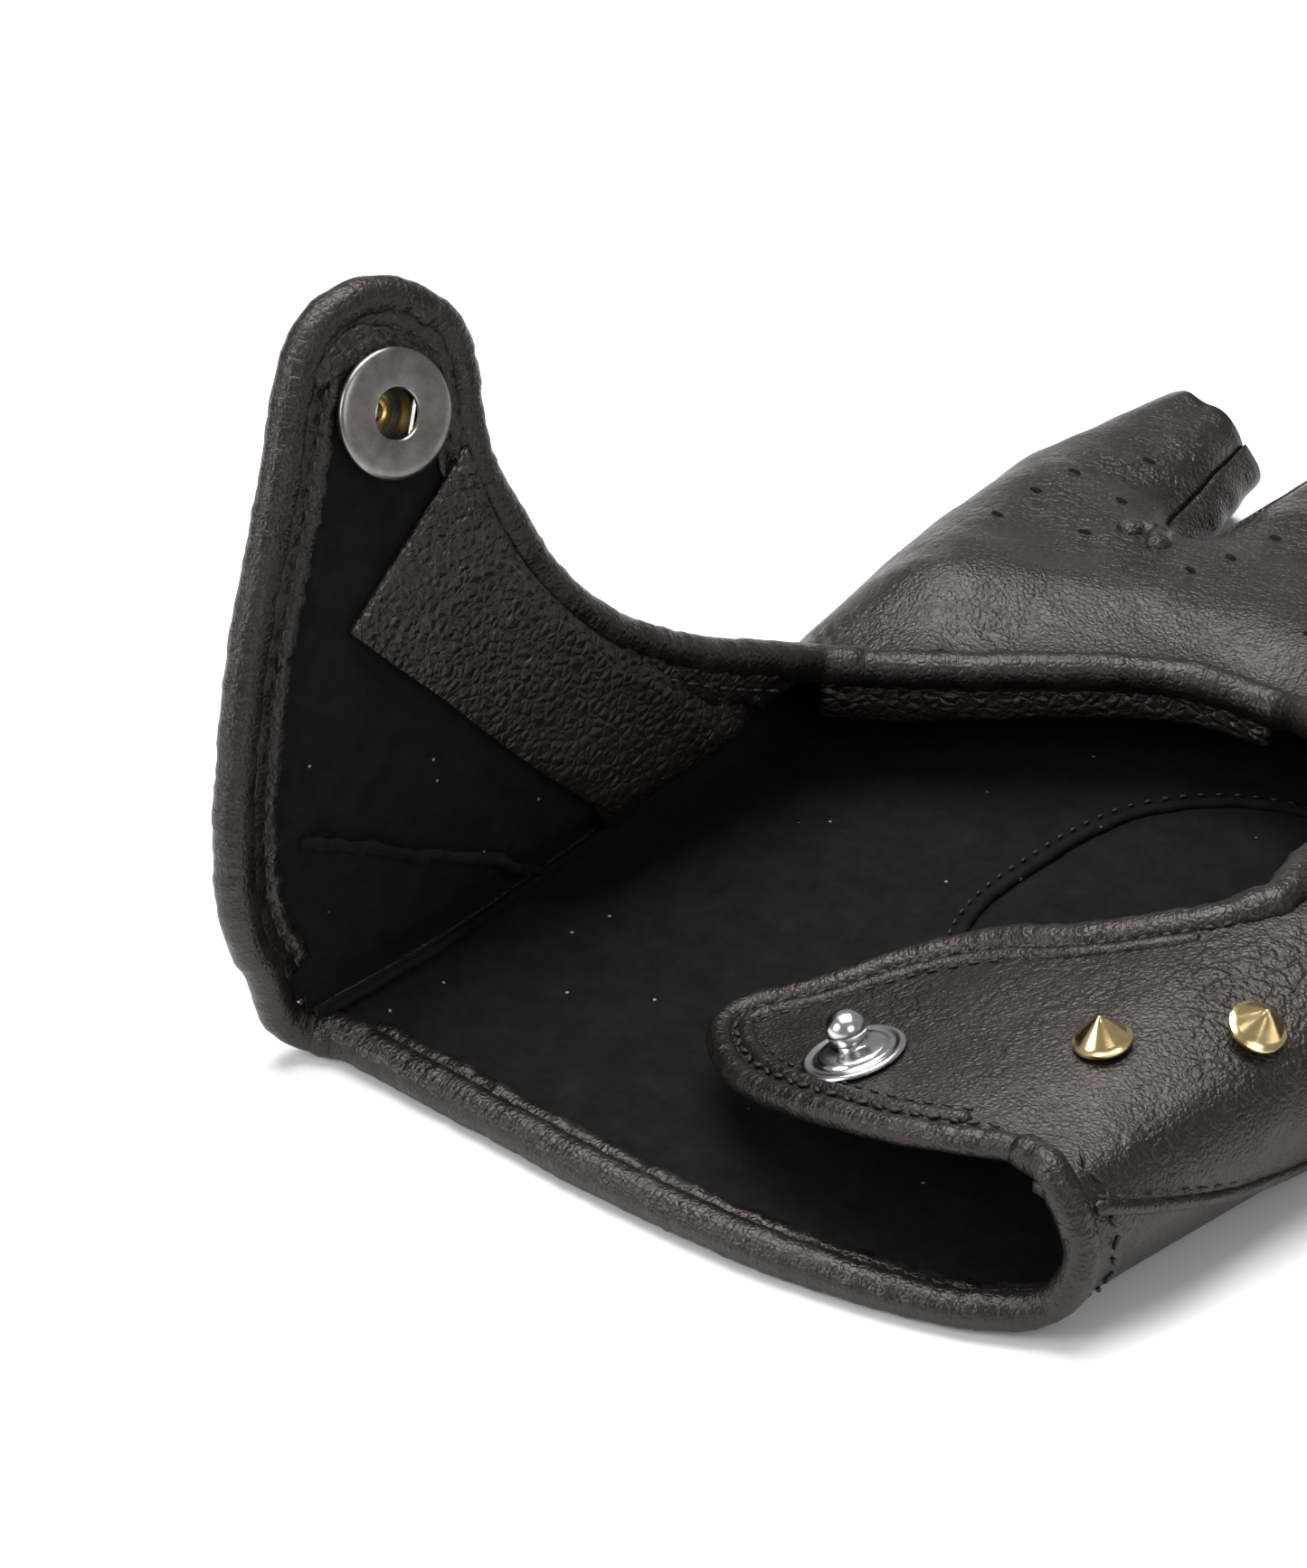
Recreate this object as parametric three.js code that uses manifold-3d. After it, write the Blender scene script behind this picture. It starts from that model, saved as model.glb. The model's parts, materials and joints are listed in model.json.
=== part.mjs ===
// A left-hand fingerless driving glove, lying on its palm with the wrist strap standing open.
// Millimetres. X runs from the wrist to the fingers, Y from the thumb side to the little finger, Z is up.
// The strap folds over the wrist and its ring snap closes on the stud of the tab.
import * as THREE from 'three';
import { mergeVertices } from 'three/addons/utils/BufferGeometryUtils.js';
import Module from 'manifold-3d';

const wasm = await Module();
wasm.setup();

// Hand
const PALM_LENGTH = 104;
const WRIST_WIDTH = 84;
const KNUCKLE_WIDTH = 99;
const MOUTH_HEIGHT = 18;
const ARCH_HEIGHT = 21.5;
const KNUCKLE_HEIGHT = 14;
const LEATHER = 1.2;
const GAP = 0.3;

// Fingers and thumb
const FINGERS = ['index', 'middle', 'ring', 'little'];
const FINGER_LENGTHS = [34, 39, 36, 27];
const FINGER_HEIGHT = 12;
const FINGER_GAP = 2.4;
const FINGER_TAPER = 1.1;
const FINGER_ROOT = 6;
const THUMB_ANGLE = 50;
const THUMB_REACH = 48;
const THUMB_WIDTH = 30;
const THUMB_TIP_WIDTH = 27;
const THUMB_HEIGHT = 16;
const THUMB_ROOT = new THREE.Vector2(66, -30);
const THUMB_INSET = new THREE.Vector2(24, 24);

// Edge bindings
const WRIST_ROLL = 2.0;
const STRAP_ROLL = 1.9;
const KEYHOLE_ROLL = 1.8;
const TAB_ROLL = 1.3;
const FACING_THICKNESS = 0.7;
const FACING_WIDTH = 7;

// Strap fold: the crease runs from the wrist corner to the far corner of the keyhole
const CREASE_START = new THREE.Vector3(0, WRIST_WIDTH / 2 + 1, 6.9);
const CREASE_SLOPE = new THREE.Vector3(1, -0.091, 0.113);
const CREASE_LENGTH = 63;
const STRAP_CLOSING_ANGLE = 94;
const STRAP_TIP_MARGIN = 10;
const HINGE_CLEARANCE = 1.1;

// Tab and snap fastener. Heights in the snap are measured from the outer face of the tab.
const STUD_FROM_WRIST = 20;
const STUD_FROM_CREASE = 51.1;
const STUD_HEIGHT = 13.2;
const TAB_TILT = 18.1;
const TAB_CURL_START = -22;
const TAB_CURL = 0.006;
const STUD_BASE_RADIUS = 5;
const STUD_BALL_RADIUS = 1.95;
const STUD_BALL_HEIGHT = 2.9;
const STUD_TOP = 4.4;
const STUD_NECK_RADIUS = 1.3;
const SOCKET_RADIUS = 6.25;
const SOCKET_HOLE_RADIUS = 2.4;
const SOCKET_FACE = 1.2;
const SOCKET_FLANGE = 1.5;
const SOCKET_DEPTH = 4.1;
const STRAP_FACE = 3.0;
const BARREL_RADIUS = 3.1;
const POST_RADIUS = 1.3;
const CAP_RADIUS = 6.25;
const CAP_HEIGHT = 3.6;
const WIRE_RADIUS = 0.25;
const WIRE_OFFSET = 2.15;
const WIRE_LENGTH = 6;

// Cone studs
const CONE_RADIUS = 2.8;
const CONE_HEIGHT = 2.9;
const CONE_RIM = 0.45;
const RIVET_RADIUS = 2.5;
const RIVET_SEAT = 0.6;
const RIVET_THICKNESS = 0.5;
const RIVET_POST_RADIUS = 0.7;
const PATCH_THICKNESS = 0.8;
const SHOULDER_CONE_TURN = THREE.MathUtils.degToRad(25.5);

const glove = new THREE.Group();

function material(color, roughness, metalness) {
  return new THREE.MeshStandardMaterial({ color, roughness, metalness });
}

const blackLeather = material(0x2b2725, 0.5, 0);
const bindingLeather = material(0x1f1c1b, 0.45, 0);
const grainLeather = material(0x3a332f, 0.55, 0);
const paleGold = material(0xd9bf7a, 0.25, 1);
const brass = material(0xb8923f, 0.3, 1);
const nickel = material(0xb9b9b9, 0.25, 1);
const gunmetal = material(0x79716d, 0.35, 1);
const springSteel = material(0x8a8a8a, 0.3, 1);

// Turns a closed three.js geometry into a solid that can be joined and cut.
function solid(geometry) {
  const bare = geometry.index ? geometry.toNonIndexed() : geometry.clone();
  bare.deleteAttribute('normal');
  bare.deleteAttribute('uv');
  const merged = mergeVertices(bare, 1e-4);
  const vertProperties = new Float32Array(merged.attributes.position.array);
  const triVerts = new Uint32Array(merged.index.array);
  return new wasm.Manifold(new wasm.Mesh({ numProp: 3, vertProperties, triVerts }));
}

function geometryOf(shape) {
  const mesh = shape.getMesh();
  const geometry = new THREE.BufferGeometry();
  geometry.setAttribute('position', new THREE.BufferAttribute(new Float32Array(mesh.vertProperties), 3));
  geometry.setIndex(new THREE.BufferAttribute(new Uint32Array(mesh.triVerts), 1));
  const flat = geometry.toNonIndexed();
  flat.computeVertexNormals();
  return flat;
}

function addPiece(parent, name, shape, finish) {
  const geometry = shape.isBufferGeometry ? shape : geometryOf(shape);
  const mesh = new THREE.Mesh(geometry, finish);
  mesh.name = name;
  parent.add(mesh);
  return mesh;
}

// Moves every vertex of a geometry by a rule.
function warp(geometry, rule) {
  const position = geometry.attributes.position;
  const point = new THREE.Vector3();
  for (let i = 0; i < position.count; i += 1) {
    point.fromBufferAttribute(position, i);
    rule(point);
    position.setXYZ(i, point.x, point.y, point.z);
  }
  return geometry;
}

function roll(points, radius, steps, sides = 10) {
  const section = new THREE.Shape();
  for (let i = 0; i < sides; i += 1) {
    const angle = (2 * Math.PI * i) / sides;
    const x = radius * Math.cos(angle);
    const y = radius * Math.sin(angle);
    if (i === 0) section.moveTo(x, y);
    else section.lineTo(x, y);
  }
  const extrudePath = new THREE.CatmullRomCurve3(points, false, 'centripetal');
  return solid(new THREE.ExtrudeGeometry(section, { steps, extrudePath, bevelEnabled: false }));
}

function prism(points, low, high) {
  const outline = new THREE.Shape(points);
  const geometry = new THREE.ExtrudeGeometry(outline, { depth: high - low, bevelEnabled: false });
  return solid(geometry.translate(0, 0, low));
}

function turned(profile, segments) {
  const points = profile.map(([radius, height]) => new THREE.Vector2(radius, height));
  points.push(points[0].clone());
  return solid(new THREE.LatheGeometry(points, segments).rotateX(Math.PI / 2));
}

// ---- Hand shell ----

const nearWrist = -WRIST_WIDTH / 2 + 1.5;
const farWrist = WRIST_WIDTH / 2 + 2.5;
const nearKnuckle = -KNUCKLE_WIDTH / 2 + 3;
const farKnuckle = KNUCKLE_WIDTH / 2 + 3.5;

// Widths, height and inward lean of the far wall at stations along the hand.
const handStations = [
  { at: 0, near: nearWrist, far: farWrist, height: MOUTH_HEIGHT, lean: 3 },
  { at: 0.15, near: nearWrist, far: farWrist + 1, height: MOUTH_HEIGHT, lean: 9 },
  { at: 0.55, near: nearKnuckle + 2, far: farKnuckle - 1, height: ARCH_HEIGHT, lean: 20 },
  { at: 0.8, near: nearKnuckle, far: farKnuckle, height: 0.5 * (ARCH_HEIGHT + KNUCKLE_HEIGHT), lean: 9 },
  { at: 1, near: nearKnuckle + 1, far: farKnuckle, height: KNUCKLE_HEIGHT, lean: 2 },
];

function blendStations(stations, at) {
  const last = stations.length - 1;
  let i = 0;
  while (i < last - 1 && at > stations[i + 1].at) i += 1;
  const span = stations[i + 1].at - stations[i].at;
  const t = THREE.MathUtils.clamp((at - stations[i].at) / span, 0, 1);
  const mixed = {};
  for (const key of ['near', 'far', 'height', 'lean']) {
    mixed[key] = THREE.MathUtils.lerp(stations[i][key], stations[i + 1][key], t);
  }
  return mixed;
}

const handSection = (x) => blendStations(handStations, x / PALM_LENGTH);

// A flat tube: straight top and bottom with round sides, its section given for each x.
function flatTube(sectionAt, start, end, steps, inset) {
  const unit = new THREE.Shape();
  unit.absarc(1, 0, 1, -Math.PI / 2, Math.PI / 2, false);
  unit.absarc(-1, 0, 1, Math.PI / 2, 1.5 * Math.PI, false);
  const geometry = new THREE.ExtrudeGeometry(unit, { depth: 1, steps, bevelEnabled: false, curveSegments: 5 });
  return solid(warp(geometry, (point) => {
    const x = start + (end - start) * point.z;
    const section = sectionAt(x);
    const radius = section.height / 2 - inset;
    const side = Math.sign(point.x);
    const edge = side > 0 ? section.far - inset - radius : section.near + inset + radius;
    const z = inset + radius * (1 + point.y);
    const lean = side > 0 ? (section.lean * z) / section.height : 0;
    point.set(x, edge + radius * (point.x - side) - lean, z);
  }));
}

// Height of the outer leather above the table at a place on the back of the hand.
function backHeight(x, y) {
  const section = handSection(x);
  const radius = section.height / 2;
  const samples = 60;
  for (let i = 0; i <= samples; i += 1) {
    const angle = (Math.PI / 2) * (1 - (2 * i) / samples);
    const z = radius * (1 + Math.sin(angle));
    const edge = section.far - radius + radius * Math.cos(angle) - (section.lean * z) / section.height;
    if (edge >= y) return z;
  }
  return 0;
}

function fingerEdges(index) {
  const pitch = (farKnuckle - nearKnuckle - 1) / FINGERS.length;
  const near = nearKnuckle + 1 + pitch * index;
  return { near, far: near + pitch };
}

function fingerSection(index) {
  const edges = fingerEdges(index);
  const first = index === 0 ? 0.5 : FINGER_GAP / 2;
  const last = index === FINGERS.length - 1 ? 0.5 : FINGER_GAP / 2;
  return (x) => {
    const along = THREE.MathUtils.clamp((x - PALM_LENGTH) / FINGER_LENGTHS[index], 0, 1);
    const height = THREE.MathUtils.lerp(KNUCKLE_HEIGHT, FINGER_HEIGHT, along);
    const taper = FINGER_TAPER * along;
    return { near: edges.near + first + taper, far: edges.far - last - taper, height, lean: 0 };
  };
}

function fingerTube(index, inset) {
  const start = PALM_LENGTH - FINGER_ROOT - inset;
  const overrun = inset > 0 ? 5 : 0;
  const end = PALM_LENGTH + FINGER_LENGTHS[index] + overrun;
  return flatTube(fingerSection(index), start, end, 2, inset);
}

function thumbTube(inset) {
  const section = (x) => {
    const along = THREE.MathUtils.clamp(x / THUMB_REACH, 0, 1);
    const half = 0.5 * THREE.MathUtils.lerp(THUMB_WIDTH, THUMB_TIP_WIDTH, along);
    return { near: -half, far: half, height: THUMB_HEIGHT, lean: 0 };
  };
  const end = THUMB_REACH + (inset > 0 ? 5 : 0);
  const lengthwise = flatTube(section, 0, end, 3, inset);
  return lengthwise.rotate([0, 0, -THUMB_ANGLE]).translate([THUMB_ROOT.x, THUMB_ROOT.y, 0]);
}

function handSolid(inset) {
  const overrun = inset > 0 ? 5 : 0;
  let whole = flatTube(handSection, -overrun, PALM_LENGTH - inset, 14, inset);
  for (let i = 0; i < FINGERS.length; i += 1) {
    whole = whole.add(fingerTube(i, inset));
  }
  return whole;
}

// ---- Edges of the leather ----

const wristPath = [
  new THREE.Vector3(1.3, farWrist - 5.6, WRIST_ROLL + 0.05),
  new THREE.Vector3(1.6, 0.6 * farWrist, WRIST_ROLL),
  new THREE.Vector3(2.4, 0, WRIST_ROLL),
  new THREE.Vector3(4.9, 0.42 * nearWrist, WRIST_ROLL),
  new THREE.Vector3(9.6, 0.773 * nearWrist, WRIST_ROLL + 0.2),
  new THREE.Vector3(13.4, 0.921 * nearWrist, WRIST_ROLL + 1.6),
  new THREE.Vector3(15, 0.985 * nearWrist, 0.5 * MOUTH_HEIGHT),
  new THREE.Vector3(15, 0.946 * nearWrist, 0.8 * MOUTH_HEIGHT),
  new THREE.Vector3(15, 0.886 * nearWrist, 0.94 * MOUTH_HEIGHT),
];

const cornerPath = [
  new THREE.Vector3(-3.2, CREASE_START.y + 0.2, WRIST_ROLL + 0.05),
  new THREE.Vector3(-1, CREASE_START.y - 0.6, WRIST_ROLL + 0.05),
  new THREE.Vector3(0.9, farWrist - 3.9, WRIST_ROLL + 0.05),
];

const creaseAxis = CREASE_SLOPE.clone().normalize();
const creasePoint = (s) => CREASE_START.clone().addScaledVector(creaseAxis, s);
const keyholeStart = creasePoint(CREASE_LENGTH + 3);

// The keyhole turns round its end over the knuckles and comes back along the thumb side.
const keyholePlan = [
  [keyholeStart.x, keyholeStart.y],
  [0.665 * PALM_LENGTH, 0.8 * CREASE_START.y],
  [0.715 * PALM_LENGTH, 0.65 * CREASE_START.y],
  [0.77 * PALM_LENGTH, 0.5 * CREASE_START.y],
  [0.83 * PALM_LENGTH, 0.28 * CREASE_START.y],
  [0.855 * PALM_LENGTH, 0.05 * CREASE_START.y],
  [0.845 * PALM_LENGTH, 0.14 * nearWrist],
  [0.8 * PALM_LENGTH, 0.34 * nearWrist],
  [0.73 * PALM_LENGTH, 0.51 * nearWrist],
  [0.655 * PALM_LENGTH, 0.6 * nearWrist],
  [0.6 * PALM_LENGTH, 0.625 * nearWrist],
];
const keyholePath = keyholePlan.map(([x, y]) => new THREE.Vector3(x, y, backHeight(x, y) - LEATHER / 2));

// ---- Tab frame: its origin is the foot of the stud, Z leaves the leather ----

const tabNormal = new THREE.Vector3(0, 0, 1).projectOnPlane(creaseAxis).normalize();
tabNormal.applyAxisAngle(creaseAxis, -THREE.MathUtils.degToRad(TAB_TILT));
const tabAcross = new THREE.Vector3().crossVectors(tabNormal, creaseAxis);
const studFoot = new THREE.Vector3(STUD_FROM_WRIST, CREASE_START.y - STUD_FROM_CREASE, STUD_HEIGHT);
const tabFrame = new THREE.Matrix4().makeBasis(creaseAxis, tabAcross, tabNormal).setPosition(studFoot);

// The tab is flat under the stud and curls over towards the side of the hand.
function tabDrop(q) {
  if (q > 0) return 0;
  if (q > TAB_CURL_START) return -TAB_CURL * q * q;
  return -TAB_CURL * TAB_CURL_START * (2 * q - TAB_CURL_START);
}

function tabSlope(q) {
  return -2 * TAB_CURL * THREE.MathUtils.clamp(q, TAB_CURL_START, 0);
}

const tabHingeStart = new THREE.Vector2(-1, 0.64 * nearWrist);
const tabHingeEnd = new THREE.Vector2(0.38 * PALM_LENGTH, 0.47 * nearWrist);
const onTab = (p, q, lift = 0) => new THREE.Vector3(p, q, tabDrop(q) + lift);
const tabReach = STUD_FROM_CREASE * 0.385;

// From the side of the hand along the wrist, round the tip and back beside the keyhole.
const tabOutline = [
  [tabHingeStart.x - 0.8, tabHingeStart.y + 2.6],
  [-4.3, 0.45 * nearWrist],
  [-7, 0.25 * nearWrist],
  [-7.7, 2],
  [-6.4, 0.5 * tabReach],
  [-2.5, 0.87 * tabReach],
  [0.7, tabReach],
  [3.6, 0.95 * tabReach],
  [8.2, 0.73 * tabReach],
  [0.144 * PALM_LENGTH, 0.5 * tabReach],
  [0.199 * PALM_LENGTH, 0.18 * tabReach],
  [0.237 * PALM_LENGTH, 0.11 * nearWrist],
  [0.295 * PALM_LENGTH, 0.28 * nearWrist],
  [0.344 * PALM_LENGTH, 0.37 * nearWrist],
  [tabHingeEnd.x - 1.5, 0.385 * nearWrist],
];

// ---- Strap frame: X along the crease, Y outwards, Z up the open strap ----

const strapUp = new THREE.Vector3(0, 0, 1).projectOnPlane(creaseAxis).normalize();
const strapOut = new THREE.Vector3().crossVectors(strapUp, creaseAxis);
const strapFrame = new THREE.Matrix4().makeBasis(creaseAxis, strapOut, strapUp).setPosition(CREASE_START);

// The socket's frame is the stud's frame carried back from the closed strap to the open one.
const closing = THREE.MathUtils.degToRad(STRAP_CLOSING_ANGLE);
const opening = new THREE.Matrix4().makeTranslation(CREASE_START.x, CREASE_START.y, CREASE_START.z)
  .multiply(new THREE.Matrix4().makeRotationAxis(creaseAxis, -closing))
  .multiply(new THREE.Matrix4().makeTranslation(-CREASE_START.x, -CREASE_START.y, -CREASE_START.z));
const socketFrame = opening.clone().multiply(tabFrame);
const socketInStrap = strapFrame.clone().invert().multiply(socketFrame);
const snap = new THREE.Vector3(0, 0, STRAP_FACE + LEATHER / 2).applyMatrix4(socketInStrap);
const snapNormal = new THREE.Vector3(0, 0, 1).transformDirection(socketInStrap);
const snapSlope = -snapNormal.z / snapNormal.y;

// Outward bow of the strap: flat at the crease and square to the snap at its height.
const bowSquare = (3 * snap.y - snapSlope * snap.z) / snap.z ** 2;
const bowCube = (snapSlope * snap.z - 2 * snap.y) / snap.z ** 3;
const strapBow = (h) => (h < 0 ? 0 : bowSquare * h * h + bowCube * h * h * h);
const strapSlope = (h) => 2 * bowSquare * h + 3 * bowCube * h * h;

function strapOutline() {
  const outline = [[-3.4, 2.2], [-5.2, 0.16 * snap.z], [-5.5, 0.27 * snap.z], [-3.4, 0.455 * snap.z]];
  outline.push([0.12 * snap.x, 0.73 * snap.z], [0.49 * snap.x, 0.99 * snap.z]);
  for (const degrees of [148, 122, 96, 70, 44, 18]) {
    const angle = THREE.MathUtils.degToRad(degrees);
    outline.push([snap.x + STRAP_TIP_MARGIN * Math.cos(angle), snap.z + STRAP_TIP_MARGIN * Math.sin(angle)]);
  }
  const waist = snap.x + 0.8 * STRAP_TIP_MARGIN;
  const concave = [[-0.02, 0.85], [0.02, 0.71], [0.1, 0.555], [0.25, 0.408], [0.47, 0.277], [0.74, 0.161], [1, 0.07]];
  for (const [along, up] of concave) {
    outline.push([THREE.MathUtils.lerp(waist, CREASE_LENGTH - 2.5, along), up * snap.z]);
  }
  return outline;
}

const onStrap = (s, h, lift = 0) => new THREE.Vector3(s, strapBow(h) + lift, h);

// ---- Sheets that follow a bent profile ----

// A sheet whose section in the (second, third) axes is extruded along the first axis.
function bentSheet(section, start, end) {
  const geometry = new THREE.ExtrudeGeometry(new THREE.Shape(section), { depth: end - start, bevelEnabled: false });
  return solid(warp(geometry, (point) => point.set(start + point.z, point.x, point.y)));
}

function strapSheet(low, high, base, top) {
  const steps = 16;
  const outer = [];
  const inner = [];
  for (let i = 0; i <= steps; i += 1) {
    const h = THREE.MathUtils.lerp(base, top, i / steps);
    outer.push(new THREE.Vector2(strapBow(h) + high, h));
    inner.unshift(new THREE.Vector2(strapBow(h) + low, h));
  }
  return bentSheet(outer.concat(inner), -20, CREASE_LENGTH + 20);
}

function tabSheet(low, high) {
  const steps = 16;
  const upper = [];
  const lower = [];
  for (let i = 0; i <= steps; i += 1) {
    const q = THREE.MathUtils.lerp(nearWrist, tabReach + 10, i / steps);
    upper.push(new THREE.Vector2(q, tabDrop(q) + high));
    lower.unshift(new THREE.Vector2(q, tabDrop(q) + low));
  }
  return bentSheet(upper.concat(lower), -20, PALM_LENGTH);
}

function smoothOutline(points, count) {
  const curve = new THREE.CatmullRomCurve3(points.map(([x, y]) => new THREE.Vector3(x, y, 0)), false, 'centripetal');
  return curve.getPoints(count).map((point) => new THREE.Vector2(point.x, point.y));
}

// A prism across the strap: its outline is given along and up the strap.
function acrossStrap(points) {
  const depth = 60;
  const geometry = new THREE.ExtrudeGeometry(new THREE.Shape(points), { depth, bevelEnabled: false });
  return solid(warp(geometry, (point) => point.set(point.x, depth / 2 - point.z, point.y)));
}

// ---- Small hardware ----

function coneStud() {
  const bore = RIVET_POST_RADIUS + GAP;
  return turned([
    [bore, GAP], [CONE_RADIUS, GAP], [CONE_RADIUS, GAP + CONE_RIM],
    [CONE_RADIUS - 0.25, GAP + CONE_RIM + 0.1], [0, GAP + CONE_HEIGHT], [0, GAP + 0.45 * CONE_HEIGHT],
    [bore, GAP + 0.45 * CONE_HEIGHT],
  ], 18);
}

function rivetBack() {
  const seat = -LEATHER - RIVET_SEAT;
  return turned([
    [0, seat - RIVET_THICKNESS], [RIVET_RADIUS, seat - RIVET_THICKNESS], [RIVET_RADIUS, seat],
    [RIVET_POST_RADIUS, seat], [RIVET_POST_RADIUS, 0.4 * CONE_HEIGHT], [0, 0.4 * CONE_HEIGHT],
  ], 12);
}

function snapStud() {
  const bore = RIVET_POST_RADIUS + GAP;
  const profile = [
    [bore, 0.2], [STUD_BASE_RADIUS - 0.2, 0.2], [STUD_BASE_RADIUS, 0.35], [STUD_BASE_RADIUS - 0.3, 0.55],
    [0.72 * STUD_BASE_RADIUS, 0.5], [0.66 * STUD_BASE_RADIUS, 0.85], [0.4 * STUD_BASE_RADIUS, SOCKET_FACE - GAP],
    [STUD_NECK_RADIUS, SOCKET_FACE],
  ];
  const under = Math.asin(STUD_NECK_RADIUS / STUD_BALL_RADIUS);
  const over = Math.acos((STUD_TOP - STUD_BALL_HEIGHT) / STUD_BALL_RADIUS);
  const steps = 6;
  for (let i = 0; i <= steps; i += 1) {
    const angle = THREE.MathUtils.lerp(Math.PI - under, over, i / steps);
    profile.push([STUD_BALL_RADIUS * Math.sin(angle), STUD_BALL_HEIGHT + STUD_BALL_RADIUS * Math.cos(angle)]);
  }
  profile.push([0, STUD_TOP], [0, 0.45 * STUD_TOP], [bore, 0.45 * STUD_TOP]);
  return turned(profile, 20);
}

function studEyelet() {
  const seat = -LEATHER - GAP;
  return turned([
    [0, seat - RIVET_THICKNESS], [0.84 * STUD_BASE_RADIUS, seat - RIVET_THICKNESS], [0.84 * STUD_BASE_RADIUS, seat],
    [RIVET_POST_RADIUS, seat], [RIVET_POST_RADIUS, 0.36 * STUD_TOP], [0, 0.36 * STUD_TOP],
  ], 24);
}

// The socket: a flat ring, a chamber for the spring wires, and a barrel through the strap.
const socketFloor = SOCKET_FACE + SOCKET_DEPTH;
const chamberRadius = 0.75 * SOCKET_RADIUS;
const barrelBore = STUD_BALL_RADIUS + 0.5;
const chamberLow = SOCKET_FACE + 0.4;
const chamberHigh = SOCKET_FACE + SOCKET_FLANGE - GAP;

function snapSocket() {
  return turned([
    [SOCKET_HOLE_RADIUS, SOCKET_FACE], [SOCKET_RADIUS - 0.3, SOCKET_FACE], [SOCKET_RADIUS, SOCKET_FACE + 0.3],
    [SOCKET_RADIUS, SOCKET_FACE + 0.8], [0.9 * SOCKET_RADIUS, SOCKET_FACE + SOCKET_FLANGE],
    [BARREL_RADIUS, SOCKET_FACE + SOCKET_FLANGE], [BARREL_RADIUS, socketFloor + 0.4],
    [POST_RADIUS + GAP, socketFloor + 0.4], [POST_RADIUS + GAP, socketFloor], [barrelBore, socketFloor],
    [barrelBore, chamberHigh], [chamberRadius, chamberHigh], [chamberRadius, chamberLow],
    [SOCKET_HOLE_RADIUS, chamberLow],
  ], 24);
}

const capSeat = STRAP_FACE + LEATHER + GAP;
const postDisc = socketFloor + 1;

function capPost() {
  const bore = POST_RADIUS - 0.4;
  return turned([
    [bore, STUD_TOP + 0.35], [POST_RADIUS + 0.6, STUD_TOP + 0.35], [POST_RADIUS + 0.6, socketFloor - GAP],
    [POST_RADIUS, socketFloor - GAP], [POST_RADIUS, postDisc], [0.74 * CAP_RADIUS, postDisc],
    [0.74 * CAP_RADIUS, postDisc + 0.4], [bore, postDisc + 0.4],
  ], 24);
}

function snapCap() {
  const top = STRAP_FACE + LEATHER + CAP_HEIGHT;
  const rim = 0.79 * CAP_RADIUS;
  return turned([
    [rim, capSeat], [CAP_RADIUS, capSeat], [CAP_RADIUS, capSeat + 1.1], [0.91 * CAP_RADIUS, top - 1],
    [0.7 * CAP_RADIUS, top - 0.35], [0.35 * CAP_RADIUS, top - 0.05], [0, top], [0, postDisc + 0.4 + GAP],
    [0.7 * CAP_RADIUS, postDisc + 0.4 + GAP], [rim, postDisc + 0.4],
  ], 24);
}

function hole(radius, low, high) {
  return turned([[0, low], [radius, low], [radius, high], [0, high]], 16);
}

// ---- Places on the leather ----

function placeOnTab(p, q) {
  const group = new THREE.Group();
  group.position.copy(onTab(p, q));
  group.rotation.x = Math.atan(tabSlope(q));
  return group;
}

function placeOnStrap(s, h) {
  const group = new THREE.Group();
  group.position.copy(onStrap(s, h, LEATHER / 2));
  group.rotation.x = -Math.PI / 2 - Math.atan(strapSlope(h));
  return group;
}

// The near shoulder of the back, where it has turned down to the thumb side by the given angle.
function onShoulder(x, turn) {
  const section = handSection(x);
  const radius = section.height / 2;
  return new THREE.Vector3(x, section.near + radius * (1 - Math.sin(turn)), radius * (1 + Math.cos(turn)));
}

// Square to the leather there, whichever way the hand widens along its length.
function placeOnShoulder(x, turn) {
  const along = onShoulder(x + 1, turn).sub(onShoulder(x - 1, turn));
  const across = new THREE.Vector3(0, Math.cos(turn), Math.sin(turn));
  const normal = along.clone().cross(across).normalize();
  const basis = new THREE.Matrix4().makeBasis(across.clone().cross(normal), across, normal);
  const group = new THREE.Group();
  group.applyMatrix4(basis.setPosition(onShoulder(x, turn)));
  return group;
}

function cutAt(shape, group, radius) {
  group.updateMatrix();
  return shape.subtract(hole(radius, -6, 6).transform(group.matrix.elements));
}

function addCone(parent, group, number) {
  parent.add(group);
  addPiece(group, `cone_stud_${number}`, coneStud(), paleGold);
  addPiece(group, `cone_rivet_${number}`, rivetBack(), brass);
}

const RIVET_HOLE = RIVET_POST_RADIUS + GAP;

// ---- Hand: palm, back, gusset, fourchettes, thumb and edge bindings ----

const assembly = new THREE.Group();
glove.add(assembly);

const tabHingeWorld = [tabHingeStart, tabHingeEnd].map((end) => onTab(end.x, end.y, -LEATHER / 2)
  .applyMatrix4(tabFrame));

// Everything above the crease and inside the keyhole is open.
function keyholeOpening() {
  const [start, end] = tabHingeWorld;
  const far = 2 * KNUCKLE_WIDTH;
  const outline = [
    new THREE.Vector2(-far, start.y - HINGE_CLEARANCE),
    new THREE.Vector2(start.x, start.y - HINGE_CLEARANCE),
    new THREE.Vector2(end.x, end.y - HINGE_CLEARANCE),
  ];
  const edge = smoothOutline(keyholePlan, 26).reverse();
  outline.push(...edge, new THREE.Vector2(keyholeStart.x, far), new THREE.Vector2(-far, far));
  const geometry = new THREE.ExtrudeGeometry(new THREE.Shape(outline), { depth: 60, bevelEnabled: false });
  const rise = CREASE_SLOPE.z / CREASE_SLOPE.x;
  return solid(warp(geometry, (point) => {
    if (point.z < 1) point.z = CREASE_START.z - HINGE_CLEARANCE + rise * point.x;
  }));
}

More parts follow.
